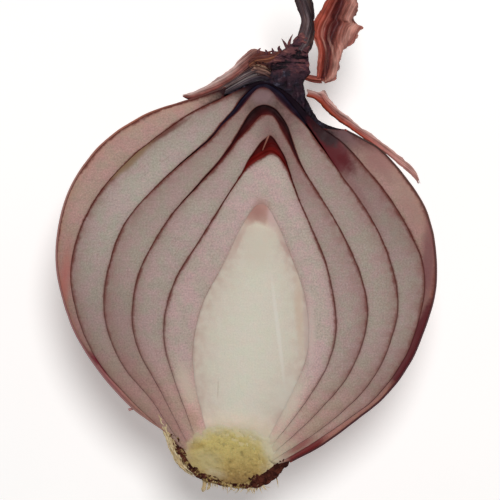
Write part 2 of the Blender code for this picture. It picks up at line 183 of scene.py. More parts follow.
class OnionSizes(PropertyGroup):
    """Sizes that shape the dressed half."""

    roundness: FloatProperty(
        name="Roundness", description="Depth below the cut face as a share of the half width",
        default=0.97, min=0.5, max=1.2)
    gap: length_property("Gap", "Width of the gap between two scales on the face", 0.045)
    corner: length_property("Corner", "Radius of a scale's edge on the face", 0.07)
    crown: length_property("Crown", "How far a cut scale bulges in its middle", 0.14)
    skin: length_property("Skin", "Thickness of the outer skin", 0.36)
    vein: length_property("Vein", "Height of the skin's lengthwise veins", 0.07)
    wander: length_property("Wander", "How far the cut lines stray to each side", 0.14)


class OnionColours(PropertyGroup):
    """Tones that several finishes share."""

    line: colour_property("Line", "Red line between two scales", 92, 40, 32)
    # Near-black at the scale tips under the neck: partly dried flesh, partly painted shade of the hollow
    # there
    pigment: colour_property("Pigment", "Red pigment inside a scale", 94, 51, 50)
    dried: colour_property("Dried", "Dark flesh where the scales dry out", 20, 9, 18)
    rim: colour_property("Rim", "Tinted outer edge of a scale", 120, 80, 74)
    root: colour_property("Root", "Yellow of the root plate", 190, 172, 118)
    straw: colour_property("Straw", "Dried root fibres", 196, 178, 140)
    skin: colour_property("Skin", "Ground of the outer skin", 128, 58, 58)
    vein: colour_property("Vein", "Veins of the outer skin", 74, 24, 36)


class OnionStudio(PropertyGroup):
    """Camera and light."""

    distance: length_property("Distance", "Camera above the cut face", 400.0)
    window: length_property("Window", "Width of the picture at the cut face", 100.0)
    key: FloatProperty(name="Key", description="Power of the large soft light", default=4.05,
                       subtype="POWER")
    fill: FloatProperty(name="Fill", description="Strength of the pale room", default=0.08)
    glow: FloatProperty(name="Glow", description="Own light of the white floor", default=0.36)


def size(name):
    """A length of the panel in millimetres, or a plain number."""
    value = getattr(bpy.context.scene.onion_sizes, name)
    return value if name == "roundness" else value / MM


def colour(name):
    return tuple(getattr(bpy.context.scene.onion_colours, name))


# Smooth noise that is the same on every run

LATTICE_SIZE = 32
LATTICE = np.random.default_rng(11).uniform(-1.0, 1.0, (LATTICE_SIZE,) * 3)


def ease(share):
    """From 0 to 1 with a soft start and end."""
    return share * share * (3 - 2 * share)


def noise(points, feature, shift=0.0):
    """Smooth noise from -1 to 1 at each point, with features of the given millimetres."""
    place = np.asarray(points, float) / np.asarray(feature, float) + shift
    cell = np.floor(place).astype(int)
    share = ease(place - cell)
    total = 0.0
    for corner in np.ndindex(2, 2, 2):
        weight = 1.0
        index = []
        for axis in range(3):
            part = share[..., axis]
            weight = weight * (part if corner[axis] else 1 - part)
            index.append((cell[..., axis] + corner[axis]) % LATTICE_SIZE)
        total = total + weight * LATTICE[tuple(index)]
    return total


def rough_noise(points, feature, shift=0.0, octaves=3):
    """Noise with ever finer detail on top."""
    total = 0.0
    for octave in range(octaves):
        finer = np.asarray(feature, float) / 2.1 ** octave
        total = total + noise(points, finer, shift + 5.3 * octave) * 0.5 ** octave
    return total


def smooth_step(value, low, high):
    return ease(np.clip((value - low) / (high - low), 0.0, 1.0))


# Curves through knots

SPLINE_STEPS = 24


def spline(knots):
    """Close points on a smooth curve through the knots."""
    knots = np.array(knots, float)
    framed = np.vstack([2 * knots[0] - knots[1], knots, 2 * knots[-1] - knots[-2]])
    t = np.linspace(0.0, 1.0, SPLINE_STEPS, endpoint=False)[:, None]
    spans = []
    for a, b, c, d in zip(framed, framed[1:], framed[2:], framed[3:]):
        spans.append((b * 2 + (c - a) * t + (a * 2 - b * 5 + c * 4 - d) * t ** 2
                      + (b * 3 - a - c * 3 + d) * t ** 3) / 2)
    return np.vstack(spans + [knots[-1:]])


def spread(points, count):
    """The same curve with count + 1 points at even distances."""
    run = np.linalg.norm(np.diff(points, axis=0), axis=1)
    run = np.concatenate([[0.0], np.cumsum(run)])
    places = np.linspace(0.0, run[-1], count + 1)
    return np.stack([np.interp(places, run, column) for column in points.T], axis=1)


def smooth_line(knots, count):
    return spread(spline(knots), count)


def edges(sides, count=ALONG):
    """Left and right edge of an outline, evenly spread. One that closes turns smoothly."""
    left, right = sides
    if left[-1] != right[-1]:
        return Sides(smooth_line(left, count), smooth_line(right, count))
    over = spline(left + right[-2::-1])
    tip = (len(left) - 1) * SPLINE_STEPS
    return Sides(spread(over[:tip + 1], count), spread(over[tip:][::-1], count))


def course_of(count):
    """Place along an outline: 0 at the left foot, 0.5 at the tip and 1 at the right foot."""
    rise = np.linspace(0.0, 0.5, count + 1)
    return Sides(rise, 1 - rise)


def inset(pair, distance):
    """The outline moved inwards on the face."""
    moved = []
    for points, turn in zip(pair, (1, -1)):
        run = np.gradient(points, axis=0)
        if np.allclose(pair.left[-1], pair.right[-1]):
            run[-1] = (pair.right[-2] - pair.left[-2]) * turn
        run /= np.linalg.norm(run, axis=1)[:, None]
        inwards = np.stack([run[:, 1], -run[:, 0]], axis=1) * turn
        moved.append(points + inwards * distance)
    return Sides(*moved)


def grid_of(*columns):
    """Grids of x, y and z, brought to one shape and put together as points."""
    return np.stack(np.broadcast_arrays(*columns), -1)


def new_object(name, data):
    made = bpy.data.objects.new(name, data)
    bpy.context.scene.collection.objects.link(made)
    return made


class Piece:
    """Points, faces and marks of one piece while it is shaped, in millimetres."""

    def __init__(self):
        self.grids = []
        self.faces = []
        self.marks = {name: [] for name in MARKS}
        self.grains = []
        self.count = 0

    def add_grid(self, points, grain=(0.0, 0.0, 0.0), **marks):
        """Add a grid of points with quads between them."""
        shape = points.shape[:2]
        index = np.arange(shape[0] * shape[1]).reshape(shape) + self.count
        quads = np.stack([index[:-1, :-1], index[:-1, 1:], index[1:, 1:], index[1:, :-1]], -1)
        self.faces.append(quads.reshape(-1, 4))
        self.grids.append(points.reshape(-1, 3))
        for name in MARKS:
            value = np.asarray(marks.get(name, 0.0), float)
            self.marks[name].append(np.broadcast_to(value, shape).ravel())
        self.grains.append(np.broadcast_to(grain, (*shape, 3)).reshape(-1, 3))
        self.count += index.size

    def points(self):
        return np.vstack(self.grids)

    def move(self, points, relief=None):
        """Take new places for all points, and how high each one stands out."""
        self.grids = [points]
        if relief is not None:
            self.marks["relief"] = [relief]

    def build(self, name, finish, slot, nodes):
        """Make the object, welded and facing out, hang it on the root body and hide the frame's parts that
        it stands for.
        """
        mesh = bpy.data.meshes.new(name)
        mesh.from_pydata(self.points() * MM, [], np.vstack(self.faces).tolist())
        for mark, values in self.marks.items():
            layer = mesh.attributes.new(mark, "FLOAT", "POINT")
            layer.data.foreach_set("value", np.concatenate(values).astype(np.float32))
        layer = mesh.attributes.new("grain", "FLOAT_VECTOR", "POINT")
        layer.data.foreach_set("vector", np.vstack(self.grains).astype(np.float32).ravel())
        bm = bmesh.new()
        bm.from_mesh(mesh)
        bmesh.ops.remove_doubles(bm, verts=bm.verts, dist=WELD)
        bmesh.ops.dissolve_degenerate(bm, edges=bm.edges, dist=WELD * 0.2)
        bmesh.ops.recalc_face_normals(bm, faces=bm.faces)
        bm.to_mesh(mesh)
        bm.free()
        mesh.shade_smooth()
        mesh.materials.append(finish)
        made = new_object(name, mesh)
        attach(made, BODY)
        if nodes:
            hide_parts(*nodes)


# Surfaces of a half bulb

CORNER_TURNS = np.linspace(0.0, math.pi / 2, 4)

# How softly the level resting spot turns into the round back, in square millimetres
SPOT_SOFTNESS = 0.2

# The width in millimetres from which a cut strip bulges, and a dry sheet folds, in full
FULL_WIDTH = 4.0


def half_rings(left, right, drops, steps, swell=None, floor=None):
    """Half rings below the face, each hung between a right and a left point.

    The drops say how far below the face a ring's two ends are.
    """
    turn = np.linspace(0.0, math.pi, steps + 1)
    share = turn / math.pi
    middle = (left + right)[:, None] / 2
    half = (right - left)[:, None] / 2
    reach = np.linalg.norm(half, axis=2)
    grow = 1.0 if swell is None else 1 + swell / np.maximum(reach, 1.0)
    drop = drops.right[:, None] * (1 - share) + drops.left[:, None] * share
    across = middle + half * (np.cos(turn) * grow)[..., None]
    depth = drop + np.maximum(size("roundness") * reach - drop, 0.0) * np.sin(turn) * grow
    height = FACE - depth
    if floor is not None:
        lift = height - floor
        height = floor + (lift + np.sqrt(lift ** 2 + SPOT_SOFTNESS)) / 2
    return np.dstack([across, height])


def cut_strip(outer, inner, columns=ACROSS, crown=None, sharp=1.0):
    """The cut face between two edges, crowned, with round corners, tighter at the root."""
    over = inner - outer
    width = np.linalg.norm(over, axis=1)[:, None]
    rise = np.linspace(0.0, 1.0, len(outer))[:, None]
    corner = size("corner") * sharp * (0.2 + 0.8 * smooth_step(rise, 0.03, 0.3))
    corner = np.minimum(corner, width * 0.3)
    near = corner * (1 - np.cos(CORNER_TURNS))
    drop = corner * (np.sin(CORNER_TURNS) - 1)
    middle = np.linspace(0.0, 1.0, columns + 1)[1:-1]
    inside = corner + (width - 2 * corner) * middle
    from_outside = np.hstack([near, inside, width - near[:, ::-1]])
    height = np.hstack([drop, np.zeros_like(inside), drop[:, ::-1]])
    share = from_outside / np.maximum(width, 1e-6)
    bulge = size("crown") if crown is None else crown
    height = height + bulge * np.minimum(width / FULL_WIDTH, 1.0) * (1 - (2 * share - 1) ** 2)
    spots = outer[:, None] + over[:, None] * share[..., None]
    points = np.dstack([spots, FACE + height])
    return points, from_outside, width - from_outside, share


def along_of(points):
    """Millimetres run along each row of points."""
    run = np.linalg.norm(np.diff(points, axis=0), axis=1)
    return np.concatenate([[0.0], np.cumsum(run)])


def add_end(piece, left, right, steps, course, **marks):
    """Close an open end from the face down, between its left and its right half."""
    if np.allclose(left, right):
        return
    drops = Sides(FACE - left[:, 2], FACE - right[:, 2])
    piece.add_grid(half_rings(left[:, :2], right[:, :2], drops, steps), course=course,
                   below=FAR, from_inside=FAR, **marks)


def cup(outer, inner, steps=ROUND, columns=ACROSS, crown=None, swell=None,
        floors=(None, None), sharp=1.0):
    """A half cup between an outer and an inner outline, open or closed at the neck.

    Floors are the lowest heights of its outer and inner side, where the bulb rests.
    """
    piece = Piece()
    course = course_of(len(outer.left) - 1)
    strips = []
    for side in (0, 1):
        points, outside, inside, share = cut_strip(outer[side], inner[side], columns, crown, sharp)
        strips.append(points)
        along = along_of(outer[side])[:, None]
        piece.add_grid(points, grid_of(outside, along, 0.0), from_outside=outside,
                       from_inside=inside, course=course[side][:, None], across=share)
    turn = np.linspace(0.0, 1.0, steps + 1)
    place = course.left[:, None] * turn + course.right[:, None] * (1 - turn)
    along = along_of((outer.left + outer.right) / 2)[:, None]
    grain = grid_of(turn * 100, along, FAR)
    for pair, column, apart in ((outer, 0, (0.0, FAR)), (inner, -1, (FAR, 0.0))):
        drops = Sides(*(FACE - strip[:, column, 2] for strip in strips))
        rings = half_rings(*pair, drops, steps, None if column else swell, floors[column])
        piece.add_grid(rings, grain, from_outside=apart[0], from_inside=apart[1], course=place,
                       below=FAR, across=float(column != 0))
    for row in (0, -1):
        add_end(piece, *(strip[row] for strip in strips), steps, place[row], from_outside=FAR)
    return piece


def solid(edge, columns, steps=ROUND, crown=0.1, sharp=1.0):
    """A solid half body inside one outline."""
    piece = Piece()
    points, outside, inside, share = cut_strip(*edge, columns, crown, sharp)
    rise = np.linspace(0.0, 1.0, len(points))[:, None]
    along = along_of((edge.left + edge.right) / 2)[:, None]
    piece.add_grid(points, grid_of(outside, along, 0.0), from_inside=FAR, course=rise,
                   from_outside=np.minimum(outside, inside), across=share)
    turn = np.linspace(0.0, 1.0, steps + 1)
    drops = Sides(FACE - points[:, 0, 2], FACE - points[:, -1, 2])
    piece.add_grid(half_rings(*edge, drops, steps), grid_of(turn * 100, along, 0.0), below=FAR,
                   course=rise, from_inside=FAR)
    half = points.shape[1] // 2 + 1
    for row in (0, -1):
        add_end(piece, points[row, :half], points[row, ::-1][:half], steps, rise[row])
    return piece


def stray(points):
    """The shared sideways waver of all cut lines, so that neighbours keep their gap."""
    flat = points * (1.0, 1.0, 0.25)
    moved = points.copy()
    for axis, shift in ((0, 0.0), (1, 13.7)):
        moved[:, axis] += size("wander") * (0.75 * noise(flat, 7.0, shift)
                                            + 0.35 * noise(flat, 2.1, shift + 4.0))
    return moved


def waver(piece):
    """Let the cut lines stray and the cut rise and sink a little, fading below the face."""
    moved = stray(piece.points())
    flat = moved * (1.0, 1.0, 0.0)
    fade = 1 - smooth_step(FACE - moved[:, 2], 0.3, 2.0)
    moved[:, 2] += 0.05 * fade * (noise(flat, 6.0, 3.0) + 0.4 * noise(flat, 1.6, 8.0))
    piece.move(moved)


def plate_depth(points):
    """From 0 at the root plate's edge to 1 in its middle."""
    return 1 - (((points[:, :2] - PLATE_MIDDLE) / PLATE_HALF) ** 2).sum(axis=1)


def sink_foot(piece):
    """Let the feet of the scales and of the heart dip under the root plate."""
    points = piece.points()
    top = 1 - smooth_step(FACE - points[:, 2], 0.2, 1.5)
    points[:, 2] -= 0.2 * smooth_step(plate_depth(points), 0.12, 0.6) * top
    piece.move(points)


# Thin dry sheets and fibres


def below_face(knots):
    """Knots of x, y and depth below the face, as places in space."""
    return [(x, y, FACE - depth) for x, y, depth in knots]


# Points along a sheet's edges
EDGE_STEPS = 200


def smooth_profile(value, profile):
    """Heights between the places of a profile, eased so that no kink shows."""
    places, heights = np.array(profile, float).T
    index = np.clip(np.searchsorted(places, value, side="right") - 1, 0, len(places) - 2)
    share = smooth_step(value, places[index], places[index + 1])
    return heights[index] * (1 - share) + heights[index + 1] * share


def sheet_surface(sheet):
    """The surface between a sheet's two edges, with its folds across."""
    sides = [smooth_line(below_face(knots), EDGE_STEPS) for knots in (sheet.first, sheet.second)]
    places = np.linspace(0.0, 1.0, EDGE_STEPS + 1)

    def surface(u, v):
        low, high = (np.stack([np.interp(u, places, column) for column in side.T], -1)
                     for side in sides)
        spots = low * (1 - v[..., None]) + high * v[..., None]
        width = np.linalg.norm(high - low, axis=-1)
        fold = smooth_profile(v, sheet.profile)
        spots[..., 2] += fold * np.minimum(width / FULL_WIDTH, 1.3)
        return spots
    return surface


def sheet_piece(sheet, seed):
    """A thin closed sheet with ribs, creases and torn edges.

    Torn says how ragged its left, right, first and last edge are, as shares of the sheet.
    """
    surface = sheet_surface(sheet)
    u, v = np.meshgrid(*(np.linspace(0.0, 1.0, count + 1) for count in sheet.shape), indexing="ij")
    start, over = u[:, :1], v[:, :1]
    middle = surface(start, over + 0.5)[:, 0]
    length = np.linalg.norm(np.diff(middle, axis=0), axis=1).sum()
    width = np.linalg.norm(surface(start, over + 1) - surface(start, over), axis=-1)

    def jag(place, shift):
        wave = rough_noise(grid_of(place, seed, shift), (1.1, 1.0, 1.0), shift, 4)
        return np.clip(0.5 + 0.5 * wave, 0.0, 1.0)
    left, right, first, last = sheet.torn
    low = left * (jag(u * length, 1.0) - 0.5)
    high = 1 - right * (jag(u * length, 2.0) - 0.5)
    v_torn = low + (high - low) * v
    low = first * jag(v * 9, 3.0)
    high = 1 - last * jag(v * 9, 4.0)
    u_torn = low + (high - low) * u
    front = surface(u_torn, v_torn)
    normal = np.cross(np.gradient(front, axis=1), np.gradient(front, axis=0))
    normal /= np.maximum(np.linalg.norm(normal, axis=-1), 1e-9)[..., None]
    normal *= np.sign(normal[..., 2].mean()) or 1.0
    grain = grid_of(v_torn * width, u_torn * length, seed)
    rib = rough_noise(grain, (sheet.rib_width, 14.0, 1.0), seed, 3)
    creases = rough_noise(front, 1.6, seed + 2, 3)
    front = front + normal * (sheet.ribs * rib + sheet.crumple * creases)[..., None]
    rim = np.minimum(np.minimum(v, 1 - v) * 8, np.minimum(u, 1 - u) * 14)
    back = front - normal * (sheet.thick * (0.35 + 0.65 * smooth_step(rim, 0, 1)))[..., None]
    marks = {"course": u_torn, "across": v_torn, "relief": 0.5 + 0.35 * (rib + creases * 0.7),
             "from_outside": np.minimum(v, 1 - v) * width}
    piece = Piece()
    piece.add_grid(front, grain, from_inside=FAR, **marks)
    piece.add_grid(back, grain, from_inside=FAR, below=1.0, **marks)
    for cut in (np.s_[0, :], np.s_[-1, :], np.s_[:, 0], np.s_[:, -1]):
        rim_marks = {name: value[cut] for name, value in marks.items()}
        piece.add_grid(np.stack([front[cut], back[cut]]), grain[cut], from_inside=FAR, **rim_marks)
    return piece


def add_fibre(piece, spots, radius, sides=6, steps=16, seed=0.0, thick=0.4):
    """A thin round fibre through the spots that thins out towards both ends."""
    line = smooth_line(spots, steps)
    run = np.gradient(line, axis=0)
    run /= np.linalg.norm(run, axis=1)[:, None]
    side = np.cross(run, (0.31, 0.22, 0.93))
    side /= np.linalg.norm(side, axis=1)[:, None]
    up = np.cross(side, run)
    u = np.linspace(0.0, 1.0, steps + 1)
    body = np.minimum(u * 12, 1.0) * np.clip((1 - u) / (1 - thick), 0.0, 1.0) ** 0.7
    body = body * (1 + 0.25 * noise(line, 1.2, seed))
    turn = np.linspace(0.0, math.tau, sides + 1)
    rings = (line[:, None] + radius * body[:, None, None]
             * (np.cos(turn)[None, :, None] * side[:, None]
                + np.sin(turn)[None, :, None] * up[:, None]))
    rings[:, -1] = rings[:, 0]
    piece.add_grid(rings, grid_of(turn * radius, u[:, None] * 10, seed), course=u[:, None],
                   across=(seed * 0.37) % 1.0)


# Shader nodes

# What is left of a rim's tint at its reach
FADE = math.exp(-1)


class Value:
    """A node's output, which can be added to, taken from, multiplied and divided."""

    def __init__(self, nodes, socket):
        self.nodes = nodes
        self.socket = socket

    def __add__(self, other):
        return self.nodes.math("ADD", self, other)

    def __sub__(self, other):
        return self.nodes.math("SUBTRACT", self, other)

    def __rsub__(self, other):
        return self.nodes.math("SUBTRACT", other, self)

    def __mul__(self, other):
        return self.nodes.math("MULTIPLY", self, other)

    def __truediv__(self, other):
        return self.nodes.math("DIVIDE", self, other)

    def __rtruediv__(self, other):
        return self.nodes.math("DIVIDE", other, self)


class Tree:
    """Adds nodes to one node tree."""

    def __init__(self, tree):
        self.tree = tree

    def put(self, socket, value):
        """Link a value to a socket, or set a plain number or colour on it."""
        if isinstance(value, Value):
            self.tree.links.new(value.socket, socket)
        else:
            socket.default_value = value

    def fill(self, node, values):
        for key, value in dict(values).items():
            self.put(node.inputs[key], value)

    def add(self, kind, values=(), output=0, **settings):
        """Add a shader node and give one of its outputs."""
        made = self.tree.nodes.new("ShaderNode" + kind)
        for name, setting in settings.items():
            setattr(made, name, setting)
        self.fill(made, values)
        return Value(self, made.outputs[output])

    def math(self, operation, first, second=0.0, clamp=False):
        return self.add("Math", {0: first, 1: second}, operation=operation, use_clamp=clamp)

    def mix(self, share, first, second):
        return self.add("Mix", {0: share, 6: first, 7: second}, 2, data_type="RGBA")

    def between(self, value, low, high, to_low=0.0, to_high=1.0):
        return self.add("MapRange", {0: value, 1: low, 2: high, 3: to_low, 4: to_high},
                        interpolation_type="SMOOTHSTEP")

    def axis(self, vector, name):
        return self.add("SeparateXYZ", {0: vector}, name)

    def scaled(self, vector, factor):
        return self.add("VectorMath", {0: vector, "Scale": factor}, operation="SCALE")

    def times(self, vector, factors):
        return self.add("VectorMath", {0: vector, 1: factors}, operation="MULTIPLY")

    def place(self):
        """Where a point is on the object, in millimetres."""
        return self.scaled(self.add("TexCoord", output="Object"), 1 / MM)

    def mark(self, name, output="Fac"):
        return self.add("Attribute", (), output, attribute_name=name)

    def noise(self, place, feature, detail=2.0, rough=0.5):
        return self.add("TexNoise", {"Vector": place, "Scale": 1 / feature, "Detail": detail,
                                     "Roughness": rough})

    def ramp(self, value, stops):
        """A colour or a plain number that changes with a value."""
        made = self.tree.nodes.new("ShaderNodeValToRGB")
        self.fill(made, {0: value})
        elements = made.color_ramp.elements
        elements[0].position = stops[0][0]
        elements[1].position = stops[-1][0]
        for place, _ in stops[1:-1]:
            elements.new(place)
        for element, (_, tint) in zip(elements, stops):
            element.color = tint if isinstance(tint, tuple) else (tint, tint, tint, 1.0)
        return Value(self, made.outputs[0])


def node_group(name, inputs, outputs=("Colour", "Height", "Roughness")):
    """Make a function that fills a tree into one that places it as a shared node group.

    The group is built once, with these inputs and their first values.
    """
    def build(fill):
        tree = bpy.data.node_groups.new(name, "ShaderNodeTree")
        for label, start in inputs.items():
            kind = {3: "Vector", 4: "Color"}[len(start)] if isinstance(start, tuple) else "Float"
            tree.interface.new_socket(
                name=label, in_out="INPUT", socket_type="NodeSocket" + kind).default_value = start
        for label in outputs:
            kind = "Color" if label == "Colour" else "Float"
            tree.interface.new_socket(
                name=label, in_out="OUTPUT", socket_type="NodeSocket" + kind)
        nodes = Tree(tree)
        entry = tree.nodes.new("NodeGroupInput").outputs
        end = tree.nodes.new("NodeGroupOutput")
        nodes.fill(end, fill(nodes, {label: Value(nodes, entry[label]) for label in inputs}))
        return tree

    def wrap(fill):
        def placed(nodes, values):
            made = nodes.tree.nodes.new("ShaderNodeGroup")
            made.node_tree = bpy.data.node_groups.get(name) or build(fill)
            nodes.fill(made, values)
            return {label: Value(nodes, made.outputs[label]) for label in outputs}
        return placed
    return wrap


@node_group("Stain", {"Centre": (0.0, 0.0, FACE), "Along": 5.0, "Across": 3.0, "Turn": 0.0,
                      "Soft": 0.8, "Ragged": 0.6}, ("Mask",))
def stain(nodes, given):
    """A soft spot on the face with a ragged edge."""
    place = nodes.place()
    turn = nodes.add("CombineXYZ", {"Z": given["Turn"]})
    reach = nodes.add("CombineXYZ", {"X": given["Along"], "Y": given["Across"], "Z": 1000.0})
    local = nodes.add("Mapping", {"Vector": place, "Location": given["Centre"],
                                  "Rotation": turn, "Scale": reach}, vector_type="TEXTURE")
    away = nodes.add("VectorMath", {0: local}, "Value", operation="LENGTH")
    away = away + (nodes.noise(place, 1.6, 4.0, 0.6) - 0.5) * given["Ragged"]
    return {"Mask": nodes.between(away, 1.0, 1.0 - given["Soft"])}


def spot(nodes, x, y, along, across, turn=0.0, soft=0.8, ragged=0.6):
    """Mask of one stain, from its middle, half its length and width and its turn."""
    return stain(nodes, {"Centre": (x, y, FACE), "Along": along, "Across": across,
                         "Turn": math.radians(turn), "Soft": soft, "Ragged": ragged})["Mask"]


def stained(nodes, tint, rows, spared=None):
    """The tint with rows of stains over it, kept off the spared spot."""
    for row in rows:
        mask = spot(nodes, *row[4:])
        if spared:
            mask = nodes.math("SUBTRACT", mask, spot(nodes, *spared), clamp=True)
        tint = nodes.mix(mask * row[3], tint, tone(*row[:3]))
    return tint


@node_group("Cut Flesh", {
    "Tone": tone(160, 140, 132), "Pigment": tone(92, 44, 44), "Pigment Share": 0.0,
    "Dried And Shade Tone": tone(30, 22, 28), "Dried And Shade Share": 0.0, "Rim Tone": tone(120, 88, 82),
    "Rim Reach": 1.1, "Rim Share": 0.62, "Inner Tone": tone(122, 88, 80), "Inner Reach": 0.45,
    "Inner Share": 0.5, "Inner Line": 2.2, "Line Tone": tone(92, 44, 40), "Line Reach": 0.48,
    "Line Share": 0.8, "Wall Tone": tone(70, 26, 28), "Root Tone": tone(190, 172, 118),
    "Fibre": 0.2, "Mottling": 1.0, "Vein Share": 0.2})
def cut_flesh(nodes, given):
    """Cut onion flesh: tinted edges, red lines, mottling and lengthwise fibres."""
    place = nodes.place()
    grain = nodes.mark("grain", "Vector")
    outside = nodes.mark("from_outside")
    inside = nodes.mark("from_inside")
    mottle = nodes.noise(place, 3.2, 4.0, 0.6)
    other = nodes.noise(nodes.scaled(place, 1.7), 3.2, 3.0)
    cells = nodes.noise(place, 0.34, 3.0, 0.75)
    fibre = nodes.noise(nodes.times(grain, (2.4, 0.14, 1.0)), 1.0, 3.0, 0.6)
    swing = nodes.noise(nodes.times(grain, (0.2, 0.1, 1.0)), 1.0, 2.0)
    cuts = nodes.noise(nodes.times(place, (0.12, 2.2, 1.0)), 1.0, 2.0)
    waver = nodes.noise(place, 0.9, 3.0, 0.7) - 0.5
    blotch = nodes.between(other, 0.3, 0.7, 0.65, 1.25)
    foot = nodes.between(nodes.math("ABSOLUTE", nodes.mark("course") - 0.5), 0.32, 0.46)
    tint = nodes.mix(given["Pigment Share"], given["Tone"], given["Pigment"])
    tint = nodes.mix(foot, tint, nodes.times(tint, (1.26, 1.08, 1.02)))
    hue = nodes.mix(nodes.between(mottle, 0.36, 0.64), (0.93, 1.01, 0.92, 1),
                    (1.06, 0.97, 1.0, 1))
    tint = nodes.mix(given["Mottling"], tint, nodes.times(tint, hue))
    light = other * 0.2 + cells * 1.15 - 0.675 + (fibre - 0.5) * given["Fibre"]
    light = light * given["Mottling"] + 1.0 + (cuts - 0.5) * (given["Mottling"] * 0.16)
    tint = nodes.scaled(tint, light)
    vein = nodes.between(fibre, 0.58, 0.72)
    tint = nodes.mix(vein * given["Vein Share"], tint, given["Rim Tone"])
    rim = nodes.math("POWER", FADE, outside / given["Rim Reach"]) * given["Rim Share"]
    tint = nodes.mix(rim * (1.0 - foot * 0.5) * blotch, tint, given["Rim Tone"])
    lining = nodes.math("POWER", FADE, inside / given["Inner Reach"]) * given["Inner Share"]
    tint = nodes.mix(lining * blotch, tint, given["Inner Tone"])
    wide = nodes.between(swing, 0.35, 0.65, 0.6, 1.45)
    nearest = nodes.math("MINIMUM", outside, inside * given["Inner Line"])
    line = nodes.between(nearest / (given["Line Reach"] * wide) + waver * 1.8, 1.3, 0.0)
    tint = nodes.mix(line * given["Line Share"], tint, given["Line Tone"])
    # Near-black tips under the neck: partly dried flesh, partly painted shade of the hollow under the neck
    dried = nodes.between(given["Dried And Shade Share"] + waver * 0.5, 0.1, 0.9)
    tint = nodes.mix(dried, tint, given["Dried And Shade Tone"])
    wall = nodes.between(nodes.mark("below"), 0.2, 3.0)
    tint = nodes.mix(wall * 0.9, tint, given["Wall Tone"])
    tint = nodes.mix(spot(nodes, *ROOT_HALO) * 0.75, tint, ROOT_PALE)
    tint = nodes.mix(spot(nodes, *ROOT_GLOW) * 0.85, tint, given["Root Tone"])
    rough = nodes.between(mottle, 0.3, 0.7, 0.4, 0.56)
    return {"Colour": tint, "Height": fibre * 0.6 + cells * 0.4,
            "Roughness": nodes.math("ADD", rough, dried * 0.4, clamp=True)}


@node_group("Dry Skin", {
    "Ground": tone(128, 58, 58), "Second": tone(150, 84, 66), "Pale": tone(190, 150, 130),
    "Vein": tone(74, 24, 36), "Fibre Width": 0.5, "Fibre Length": 12.0, "Patch Fineness": 0.16,
    "Worn Share": 0.4, "Vein Share": 0.6})
def dry_skin(nodes, given):
    """Dried skin and leaf: lengthwise fibres, dark veins and pale worn streaks."""
    thin = nodes.add("CombineXYZ", {"X": 1.0 / given["Fibre Width"],
                                    "Y": 1.0 / given["Fibre Length"], "Z": 1.0})
    stretched = nodes.times(nodes.mark("grain", "Vector"), thin)
    fibre = nodes.noise(stretched, 1.0, 3.0, 0.62)
    broad = nodes.noise(nodes.times(stretched, (0.24, 0.5, 1.0)), 1.0, 3.0)
    patch = nodes.noise(nodes.scaled(nodes.place(), given["Patch Fineness"]), 1.0, 4.0, 0.6)
    tint = nodes.mix(nodes.between(patch, 0.35, 0.65), given["Ground"], given["Second"])
    worn = nodes.between(broad, 0.52, 0.68)
    tint = nodes.mix(worn * given["Worn Share"], tint, given["Pale"])
    vein = nodes.between(fibre, 0.47, 0.36)
    tint = nodes.mix(vein * given["Vein Share"], tint, given["Vein"])
    return {"Colour": nodes.scaled(tint, fibre * 0.5 + 0.75), "Height": fibre,
            "Roughness": nodes.between(patch, 0.3, 0.7, 0.36, 0.58)}


@node_group("Crumb", {
    "Ground": tone(176, 158, 104), "Second": tone(190, 176, 130), "Pit": tone(120, 96, 52),
    "Fleck": tone(214, 202, 160), "Fineness": 1.0, "Pit Share": 0.6, "Fleck Share": 0.6})
def crumb(nodes, given):
    """Rough grains of the root plate and of the cork around it."""
    grainy = nodes.scaled(nodes.place(), given["Fineness"])
    coarse = nodes.noise(grainy, 2.2, 4.0, 0.65)
    fine = nodes.noise(grainy, 0.5, 3.0, 0.7)
    tint = nodes.mix(nodes.between(coarse, 0.38, 0.62), given["Ground"], given["Second"])
    pit = nodes.between(fine, 0.46, 0.34)
    tint = nodes.mix(pit * given["Pit Share"], tint, given["Pit"])
    fleck = nodes.between(fine, 0.6, 0.72)
    tint = nodes.mix(fleck * given["Fleck Share"], tint, given["Fleck"])
    return {"Colour": tint, "Height": coarse * 0.5 + fine,
            "Roughness": nodes.between(fine, 0.3, 0.7, 0.6, 0.85)}


def material(name, looks):
    """A Principled material whose sockets take what looks(nodes) gives."""
    made = bpy.data.materials.new(name)
    made.use_nodes = True
    nodes = Tree(made.node_tree)
    nodes.fill(made.node_tree.nodes["Principled BSDF"], looks(nodes))
    return made


def finish(name, fill, bump=0.1, soft=0.0, coat=0.0, specular=0.5):
    """A material whose colour, roughness and height come from fill(nodes)."""
    def looks(nodes):
        tint, rough, height = fill(nodes)
        relief = nodes.add("Bump", {"Height": height, "Strength": 0.6, "Distance": bump * MM})
        return {"Base Color": tint, "Roughness": rough, "Normal": relief,
                "Specular IOR Level": specular, "Coat Weight": coat, "Coat Roughness": 0.3,
                "Subsurface Weight": soft, "Subsurface Radius": (1.0, 0.55, 0.45),
                "Subsurface Scale": 0.0012}
    return material("dressed_" + name, looks)


def tones(stops):
    """Ramp stops from rows of place, red, green and blue."""
    return [(place, tone(*tint)) for place, *tint in stops]


# The fleshy scales and the heart

# Cut flesh: the pale tone, how much red pigment and how much near-black shows along the
# course (partly dried flesh, partly painted shade of the hollow under the neck), how far the
# rim's tint reaches in on the left and on the right, the other values that differ, and the
# stains: red, green, blue, share, middle, half the length and the width, turn, softness and
# raggedness. A few near-black stains by the neck are painted shade of that hollow. The top
# stains spare the heart's rounded top.
Flesh = namedtuple("Flesh", "pale pigment dried sides values stains top_stains", defaults=((),))

